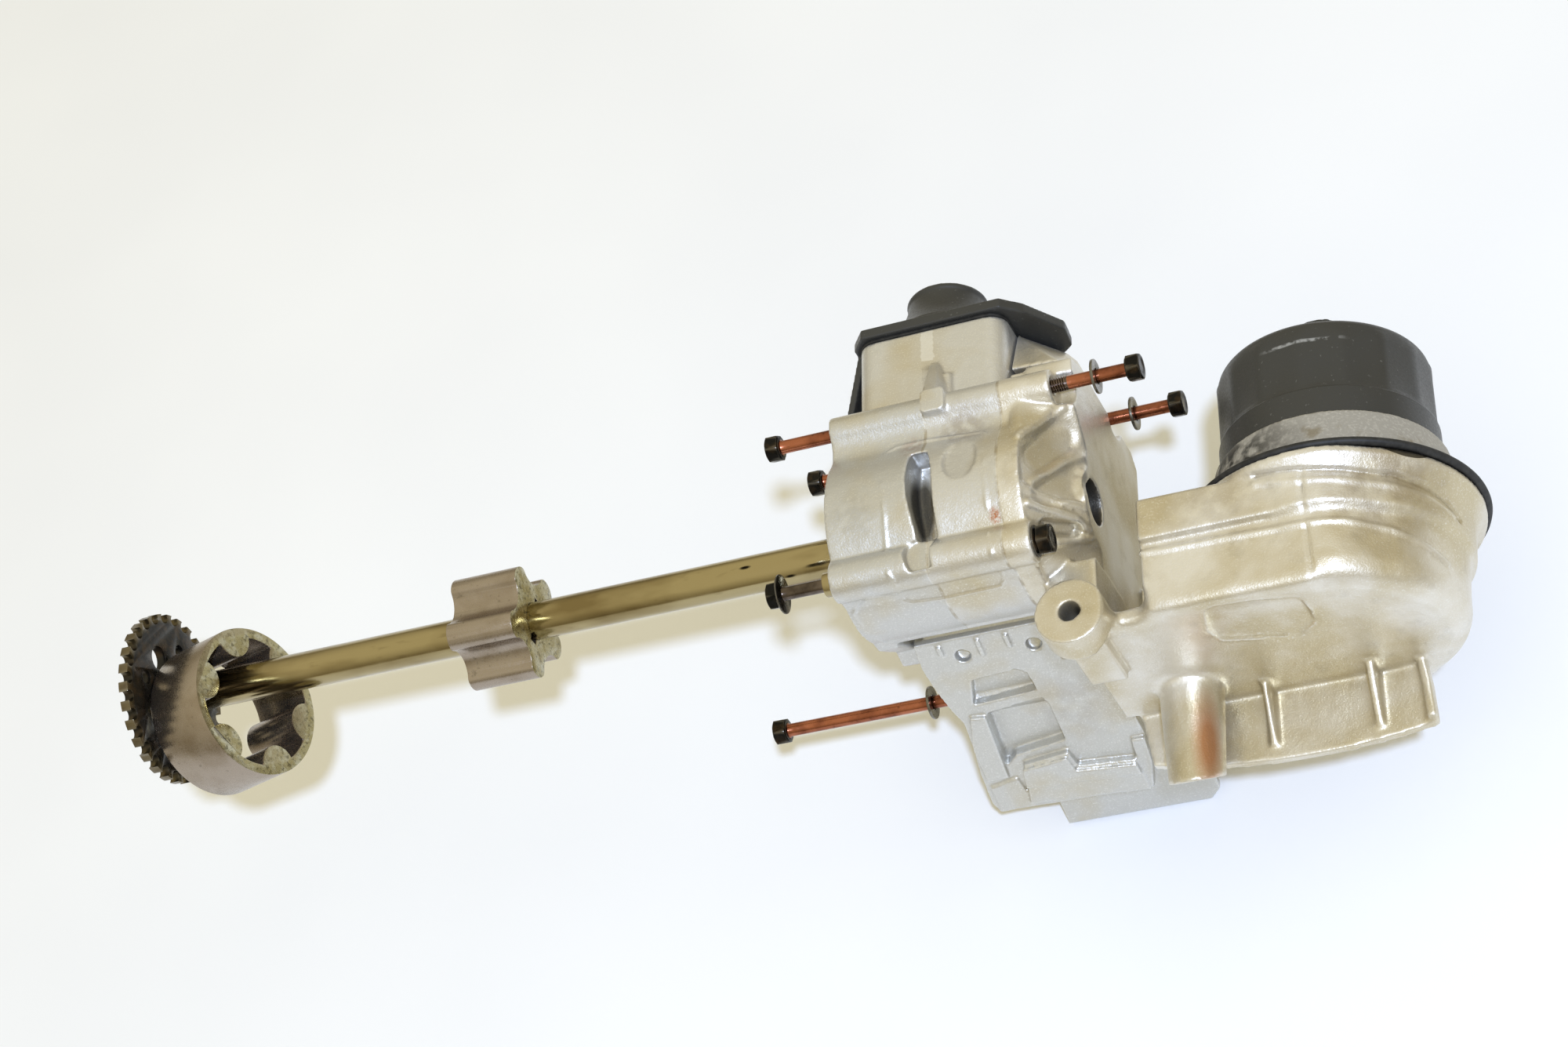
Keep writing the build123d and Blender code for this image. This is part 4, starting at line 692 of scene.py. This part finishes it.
def makeCasting(node, values):
    # moulded skin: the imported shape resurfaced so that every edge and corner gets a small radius
    v = skinValues
    source = withLumps(weldedMesh(node), values.get("lumps", []))
    for face, way in values.get("joints", []):
        # the joint face runs past its plane here and is cut back below, so that it stays crisp
        for vertex in source.vertices:
            if abs(vertex.co.x - face * mm) < v["onFaceM"]:
                vertex.co.x += way * v["overrunMm"] * mm
    skin = applied(source, [
        ("REMESH", {"mode": "VOXEL", "voxel_size": values["voxelMm"] * mm}),
        ("SMOOTH", {"factor": v["smoothing"], "iterations": values["rounds"]}),
    ])
    points = coordinatesOf(skin).astype(float)
    edges = np.empty(len(skin.edges) * 2, np.int32)
    skin.edges.foreach_get("vertices", edges)
    edges = edges.reshape(-1, 2)
    for line, reach, rounds in values.get("soft", []):
        share = awayFromLine(points, np.array(line) * mm) / (reach * mm)
        points = relaxed(points, edges, np.clip(v["softInner"] * (1 - share), 0, 1), rounds)
    skin.vertices.foreach_set("co", points.ravel())
    skin.update()
    normals = np.empty(len(points) * 3)
    skin.vertices.foreach_get("normal", normals)
    normals = normals.reshape(-1, 3)
    shift = np.zeros(len(points))
    for line, halfWidth, height, flat in values.get("lines", []):
        share = awayFromLine(points, np.array(line) * mm) / (halfWidth * mm)
        off = np.clip((share - flat) / (1 - flat), 0, 1)
        shift += (0.5 + 0.5 * np.cos(math.pi * off)) * height * mm
    points += normals * shift[:, None]
    if "taper" in values:
        # draft: the bowl's wall leans in towards its foot
        t = values["taper"]
        along = np.clip((points[:, 0] / mm - t["fromX"][0]) / (t["fromX"][1] - t["fromX"][0]), 0, 1)
        push = np.interp(points[:, 1] / mm, t["levels"], t["inMm"]) * along * along * (3 - 2 * along)
        out = points[:, [0, 2]] - np.array(filterCentre) * mm
        points[:, [0, 2]] -= out / t["radiusMm"] * push[:, None]
    low, high = (np.array(corner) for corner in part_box(node))
    if "topY" in values:
        high[1] = values["topY"] * mm
    points = np.clip(points, low, high)
    for face, way in values.get("joints", []):
        # whatever lies up to twice the overrun past the plane goes back onto it
        past = (points[:, 0] - face * mm) * way
        points[(past > 0) & (past < 2 * v["overrunMm"] * mm), 0] = face * mm
    skin.vertices.foreach_set("co", points.ravel())
    skin = applied(skin, [("DECIMATE", {"ratio": values["keep"]})])
    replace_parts(placePiece(node + "Skin", skin, node, values["finish"], v["sharpDegrees"]), node)
    print(node, "resurfaced with", len(skin.polygons), "faces")


for node, values in castings.items():
    makeCasting(node, values)

machined = {
    # width of the chamfer in mm
    "pump_shaft": 0.5,
    "drive_sprocket": 0.35,
    "sprocket_nut": 0.5,
    "inner_rotor": 0.35,
    "outer_rotor": 0.35,
    "main_inner_rotor": 0.35,
    "main_outer_rotor": 0.35,
    "dowel_sleeve": 0.4,
    "relief_plug": 0.5,
    "suction_gasket": 0.3,
}


def makeMachined(node, widthMm):
    # turned and pressed parts: flat faces kept true, every sharp edge broken by a small chamfer
    mesh = applied(weldedMesh(node, 0.6), [("BEVEL", {
        "width": widthMm * mm, "segments": 2, "limit_method": "ANGLE", "angle_limit": math.radians(35),
    })])
    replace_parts(placePiece(node + "Edged", mesh, node, finishes[slotOf[node]], 30), node)
    return len(mesh.polygons)


print("edges broken on", {node: makeMachined(node, width) for node, width in machined.items()})


def hexagonRadius(half, limit):
    # the radius round a hexagon, half its width across the flats, with its corners turned down to limit
    def radius(turn):
        side = (turn + math.pi / 6) % (math.pi / 3) - math.pi / 6
        return min(half / math.cos(math.pi / 6 - abs(side)), limit)

    return radius


def turned(name, node, axis, centreMm, levels, around, finish, closed=False, angle=32):
    # rings of points about an axis; a level is its place along the axis in mm, its radius in mm or a
    # function of the angle that gives it, and its material
    shape = bmesh.new()
    rings = []
    for along, radius, _ in levels:
        ring = []
        for i in range(around):
            turn = math.tau * i / around
            r = radius(turn) if callable(radius) else radius
            across = (r * math.cos(turn), r * math.sin(turn))
            if axis == "X":
                point = (along, centreMm[0] + across[0], centreMm[1] + across[1])
            else:
                point = (centreMm[0] + across[0], along, centreMm[1] - across[1])
            ring.append(shape.verts.new([c * mm for c in point]))
        rings.append(ring)
    steps = range(len(rings) if closed else len(rings) - 1)
    for k in steps:
        first, second = rings[k], rings[(k + 1) % len(rings)]
        for i in range(around):
            j = (i + 1) % around
            shape.faces.new((first[i], first[j], second[j], second[i])).material_index = levels[k][2]
    if not closed:
        shape.faces.new(rings[0]).material_index = levels[0][2]
        shape.faces.new(rings[-1]).material_index = levels[-1][2]
    bmesh.ops.recalc_face_normals(shape, faces=shape.faces)
    mesh = bpy.data.meshes.new(name)
    shape.to_mesh(mesh)
    shape.free()
    return placePiece(name, mesh, node, finish, angle)


beadValues = {"ring": 58.0, "y": -5.0, "wide": 2.1, "high": 1.7, "around": 160}


def makeBead():
    # the gasket's moulded bead, squeezed proud of the joint under the collar
    b = beadValues
    lean = [math.tau * k / 14 for k in range(14)]
    levels = [(b["y"] + b["high"] * math.sin(a), b["ring"] + b["wide"] * math.cos(a), 0) for a in lean]
    rubber = finishes["seal_rubber"]
    bead = turned("neckGasketBead", "neck_gasket", "Y", filterCentre, levels, b["around"], rubber, True, 60)
    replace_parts(bead, "neck_gasket")


makeBead()


def makeSpring():
    steel = finishes[slotOf["relief_spring"]]
    spring = placePiece("reliefSpringWound", weldedMesh("relief_spring"), "relief_spring", steel)
    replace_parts(spring, "relief_spring")
    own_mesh(spring)


makeSpring()

boltValues = {
    "flats": 10.0, "head": 6.0, "shank": 2.75, "thread": 2.95, "root": 2.45, "pitch": 1.0, "around": 48,
    "runOut": 1.5, "tip": 1.2, "tipIn": 0.6,
}
bolts = {
    # base: the head's underside along X; way: where its tip points; at: Y and Z of the axis; all in mm
    "front_upper_bolt": {"base": -23, "length": 45, "way": 1, "at": (40, 26.6), "threaded": 17},
    "front_side_bolt": {"base": -19, "length": 34, "way": 1, "at": (44, -9), "threaded": 16},
    "front_lower_bolt": {
        "base": -22, "length": 42, "way": 1, "at": (-29, 25.5), "threaded": 18, "flange": 8.0, "dark": True,
    },
    "ladder_bolt": {"base": -62, "length": 100, "way": 1, "at": (-31, -75), "threaded": 18},
    "rear_upper_bolt": {"base": 123.5, "length": 40, "way": -1, "at": (40, 26.6), "threaded": 16},
    "rear_edge_bolt": {"base": 124, "length": 42, "way": -1, "at": (60, -32), "threaded": 16},
    "cover_bolt": {
        "base": 83, "length": 32, "way": -1, "at": (-29, 25.5), "threaded": 16, "flange": 6.3, "flats": 11.0,
        "head": 7.0, "dark": True,
    },
}


def makeBolt(node, values):
    # a hexagon bolt: dished and chamfered head, waisted shank, rolled thread with a run-out at both ends
    half = values.get("flats", boltValues["flats"]) / 2
    head = values.get("head", boltValues["head"])
    flange = values.get("flange")
    corner = half / math.cos(math.pi / 6)
    # each level: distance from the head's underside towards its top, radius, material
    away = [
        (head - 0.35, 0.4, 0), (head - 0.35, half * 0.5, 0), (head - 0.28, half * 0.6, 0),
        (head - 0.05, half * 0.72, 0), (head, half * 0.78, 0), (head, half * 0.94, 0),
    ]
    for step in range(1, 7):
        away.append((head - 0.14 * step, hexagonRadius(half, half * 0.94 + 0.24 * step), 0))
    full, eased = hexagonRadius(half, corner), hexagonRadius(half, corner - 0.35)
    if flange:
        away += [
            (2.6, full, 0), (1.7, full, 0), (1.5, flange * 0.8, 0), (0.9, flange * 0.95, 0),
            (0.6, flange, 0), (0.15, flange, 0), (0, flange - 0.3, 0),
        ]
    else:
        away += [
            (0.9, full, 0), (0.6, eased, 0), (0.45, half * 0.93, 0), (0.1, half * 0.93, 0),
            (0, half * 0.9, 0),
        ]
    shank, root, crest, pitch = (boltValues[key] for key in ("shank", "root", "thread", "pitch"))
    runOut, tip, tipIn = (boltValues[key] for key in ("runOut", "tip", "tipIn"))
    away += [(0, shank + 0.5, 1), (-0.15, shank + 0.2, 1), (-0.5, shank, 1)]
    length = values["length"]
    plain = length - values["threaded"]
    away += [(-plain * k / 6, shank, 1) for k in range(1, 7)]
    turnsPerLevel = 0.125
    count = int(values["threaded"] / (pitch * turnsPerLevel))

    def threadAt(down):
        # fades in over the run-out and draws in at the tip
        fade = min(1, (down - plain) / runOut, (length - down) / tip)

        def radius(turn):
            phase = (down / pitch - turn / math.tau * values["way"]) % 1
            ridge = root + (crest - root) * min(1, max(0, 1.6 * (1 - abs(2 * phase - 1)) - 0.1))
            if down < length - tip:
                return shank + (ridge - shank) * fade
            return min(ridge, root - tipIn + 0.9 * fade)

        return radius

    for k in range(1, count):
        down = plain + k * pitch * turnsPerLevel
        away.append((-down, threadAt(down), 2))
    away += [(-length, root - tipIn, 2)]
    levels = [(values["base"] - values["way"] * out, radius, part) for out, radius, part in away]
    steels = [darkShank, darkShank] if values.get("dark") else [copperShank, threadSteel]
    around = boltValues["around"]
    piece = turned(node + "Turned", node, "X", values["at"], levels, around, [blackHead] + steels)
    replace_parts(piece, node)


for node, values in bolts.items():
    makeBolt(node, values)
print("bolts turned:", len(bolts))

washers = {
    # the left face along X, then Y and Z of the axis, in mm
    "ladder_washer": (2.0, (-31, -75)),
    "rear_upper_washer": (110.0, (40, 26.6)),
    "rear_edge_washer": (108.0, (60, -32)),
}
washerValues = {"outer": 7.0, "hole": 3.2, "thick": 1.2, "round": 0.3}


def makeWasher(node, left, at):
    # a stamped washer: rounded on the punch side, a small burr edge on the other
    outer, hole, thick, soft = (washerValues[key] for key in ("outer", "hole", "thick", "round"))
    profile = [
        (0, hole + 0.15), (0, outer - soft), (0.08, outer - 0.12), (soft, outer), (thick - 0.15, outer),
        (thick, outer - 0.1), (thick, hole + soft), (thick - 0.08, hole + 0.12), (thick - soft, hole),
        (0.15, hole),
    ]
    levels = [(left + along, radius, 0) for along, radius in profile]
    piece = turned(node + "Stamped", node, "X", at, levels, 72, finishes["washer_steel"], True)
    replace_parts(piece, node)


for node, (left, at) in washers.items():
    makeWasher(node, left, at)

capShape = {
    "bottom": 3.8, "seat": 18.0, "band": 31.5, "top": 64.5, "radius": 44.0, "skirt": 41.9, "wall": 3.0,
    "grooveLow": 7.5, "grooveHigh": 10.5, "grooveDeep": 1.5,
    "flats": 16, "flat": 43.1, "corner": 0.25, "sunk": 0.35, "crown": 4.5,
    "nub": 86.5, "nubHalf": 10.0, "around": 192,
}


def makeCap():
    # moulded screw cap: a plain band, sixteen soft flats that run out into it, a rounded crown and a
    # hexagon to turn it by
    c = capShape
    bottom, seat, bandTop, top, nubTop = (c[key] for key in ("bottom", "seat", "band", "top", "nub"))
    wide, skirt, crown = (c[key] for key in ("radius", "skirt", "crown"))
    low, high, deep = (c[key] for key in ("grooveLow", "grooveHigh", "grooveDeep"))

    def flats(depth):
        # depth 0 is round, 1 has full flats
        def radius(turn):
            side = (turn % (math.tau / c["flats"])) - math.pi / c["flats"]
            faceted = min(c["flat"] / math.cos(side), wide - c["corner"])
            return (1 - depth) * wide + depth * faceted - (c["sunk"] if depth else 0)

        return radius

    def crowned(limit):
        full = flats(1.0)
        return lambda turn: min(full(turn), limit)

    inner = skirt - c["wall"]
    profile = [
        (top - 5, 0.5), (top - 5, inner - 1), (bottom, inner), (bottom, skirt - 0.6), (bottom + 0.5, skirt),
        (low, skirt), (low, skirt - deep), (high, skirt - deep), (high, skirt), (seat, skirt),
        (seat + 0.1, wide - 0.5), (seat + 0.5, wide), (bandTop - 3, wide), (bandTop - 1.2, wide),
    ]
    profile += [(bandTop - 1 + 3.2 * (k / 6), flats(k / 6)) for k in range(7)]
    profile += [(45, flats(1.0)), (55, flats(1.0)), (58.5, flats(0.7))]
    for k in range(9):
        lean = math.pi / 2 * k / 8
        limit = c["flat"] - c["sunk"] - crown * (1 - math.cos(lean))
        profile.append((top - crown + crown * math.sin(lean), crowned(limit)))
    profile += [(top + 2.6, 31.0), (top + 4.4, 22.0), (top + 5.0, 13.5)]
    corners = [(top + 5.8, 12.1), (top + 6.6, 11.7)]
    corners += [(nubTop - 1.2, 11.7), (nubTop - 0.5, 11.2), (nubTop, 10.2)]
    profile += [(along, hexagonRadius(c["nubHalf"], limit)) for along, limit in corners]
    profile += [(nubTop, 6.0), (nubTop - 1.5, 5.0), (nubTop - 1.5, 0.5)]
    levels = [(along, radius, 0) for along, radius in profile]
    nylon = glassFilledNylon("glassFilledNylonCap", True)
    cap = turned("filterCapMoulded", "filter_cap", "Y", filterCentre, levels, c["around"], nylon)
    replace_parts(cap, "filter_cap")


makeCap()

screenValues = {
    "centre": (39.0, -3.0), "low": 88.5, "high": 89.7, "radius": 14.0, "wire": 0.2, "gap": 1.4, "rim": 0.35,
}


def makeScreen():
    # woven strainer: wires over and under each other inside a folded rim
    s = screenValues
    middle = (s["low"] + s["high"]) / 2
    curve = bpy.data.curves.new("strainerWires", "CURVE")
    curve.dimensions = "3D"
    curve.bevel_depth = s["wire"] * mm
    curve.bevel_resolution = 1
    count = int(s["radius"] / s["gap"])
    for direction in (0, 1):
        for k in range(-count, count + 1):
            off = k * s["gap"]
            reach = math.sqrt(s["radius"] ** 2 - off ** 2)
            steps = max(2, int(2 * reach / s["gap"] * 2))
            wire = curve.splines.new("POLY")
            wire.points.add(steps)
            for i, point in enumerate(wire.points):
                run = -reach + 2 * reach * i / steps
                over = 1 if (k + direction) % 2 else -1
                lift = s["wire"] * 1.05 * math.cos(math.pi * run / s["gap"]) * over
                x, z = (run, off) if direction else (off, run)
                point.co = ((s["centre"][0] + x) * mm, (middle + lift) * mm, (s["centre"][1] + z) * mm, 1)
    holder = bpy.data.objects.new("wires", curve)
    bpy.context.collection.objects.link(holder)
    mesh = bpy.data.meshes.new_from_object(holder.evaluated_get(bpy.context.evaluated_depsgraph_get()))
    bpy.data.objects.remove(holder)
    steel = finishes["screen_steel"]
    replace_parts(placePiece("strainerWoven", mesh, "strainer_screen", steel), "strainer_screen")
    levels = []
    for k in range(12):
        turn = math.tau * k / 12
        out = s["radius"] - 0.3 + s["rim"] * math.cos(turn)
        levels.append((middle + s["rim"] * 1.6 * math.sin(turn), out, 0))
    turned("strainerRim", "strainer_screen", "Y", s["centre"], levels, 64, steel, True)


makeScreen()
print("cap, screen and washers made")

stageValues = {"floorGapMm": 0.3, "floorSizeM": 6.0}


def makeFloor():
    # white melamine board: satin, faintly mottled
    low = cadBounds[0][2] - stageValues["floorGapMm"] * mm
    half = stageValues["floorSizeM"] / 2
    mesh = bpy.data.meshes.new("benchTop")
    corners = [(-half, -half, low), (half, -half, low), (half, half, low), (-half, half, low)]
    mesh.from_pydata(corners, [], [(0, 1, 2, 3)])
    floor = bpy.data.objects.new("benchTop", mesh)
    bpy.context.collection.objects.link(floor)
    material, tree, shader, place = newMaterial("whiteMelamine", Roughness=0.55)
    finishShader(tree, shader, layered(tree, "#EDEEEF", [(patches(tree, place, 300.0, 0.3, 0.7), "#F4F5F5")]))
    mesh.materials.append(material)


makeFloor()

# a room lit warm from its ceiling, darker towards the horizon
worldValues = {"ceiling": "#FFF6D6", "horizon": "#B0A588", "strength": 0.86}
bpy.context.scene.view_settings.view_transform = "Standard"
world = bpy.data.worlds.new("warmRoom")
bpy.context.scene.world = world
world.use_nodes = True
room = world.node_tree
height = addNode(room, "ShaderNodeTexCoord", {}, "Generated")
height = addNode(room, "ShaderNodeSeparateXYZ", {0: height}, "Z")
height = addNode(room, "ShaderNodeMapRange", {"Value": height, "From Min": 0.05, "From Max": 0.7})
tone = layered(room, worldValues["horizon"], [(height, worldValues["ceiling"])])
room.links.new(tone, room.nodes["Background"].inputs["Color"])
room.nodes["Background"].inputs["Strength"].default_value = worldValues["strength"]

lights = {
    "flash": {"at": (0.820, -1.140, 2.077), "sizeM": 0.12, "watts": 56, "colour": "#C2D6FF"},
}


def addLight(name, values, aim=(0.05, 0, -0.02)):
    light = bpy.data.lights.new(name, "AREA")
    light.shape = "DISK"
    light.size = values["sizeM"]
    light.energy = values["watts"]
    light.color = srgb(values["colour"])[:3]
    lamp = bpy.data.objects.new(name, light)
    bpy.context.collection.objects.link(lamp)
    lamp.location = values["at"]
    lamp.rotation_euler = (Vector(aim) - Vector(values["at"])).to_track_quat("-Z", "Y").to_euler()


for name, values in lights.items():
    addLight(name, values)

cameraValues = {
    "lensMm": 73.8,
    "sensorMm": 36.0,
    "at": (0.4097, -0.6839, 1.0224),
    "right": (0.920, 0.011, -0.391),  # the direction that lies along the view's width
    "up": (0.201, 0.845, 0.496),  # and the one up its height
}


def makeCamera():
    data = bpy.data.cameras.new("benchCamera")
    data.lens = cameraValues["lensMm"]
    data.sensor_width = cameraValues["sensorMm"]
    data.clip_start = 0.01
    camera = bpy.data.objects.new("benchCamera", data)
    bpy.context.collection.objects.link(camera)
    right = Vector(cameraValues["right"]).normalized()
    up = Vector(cameraValues["up"])
    up = (up - right * up.dot(right)).normalized()
    back = right.cross(up)
    turn = Matrix((right, up, back)).transposed().to_4x4()
    camera.matrix_world = Matrix.Translation(cameraValues["at"]) @ turn
    bpy.context.scene.camera = camera


makeCamera()
print("bench, room, flash and camera set")
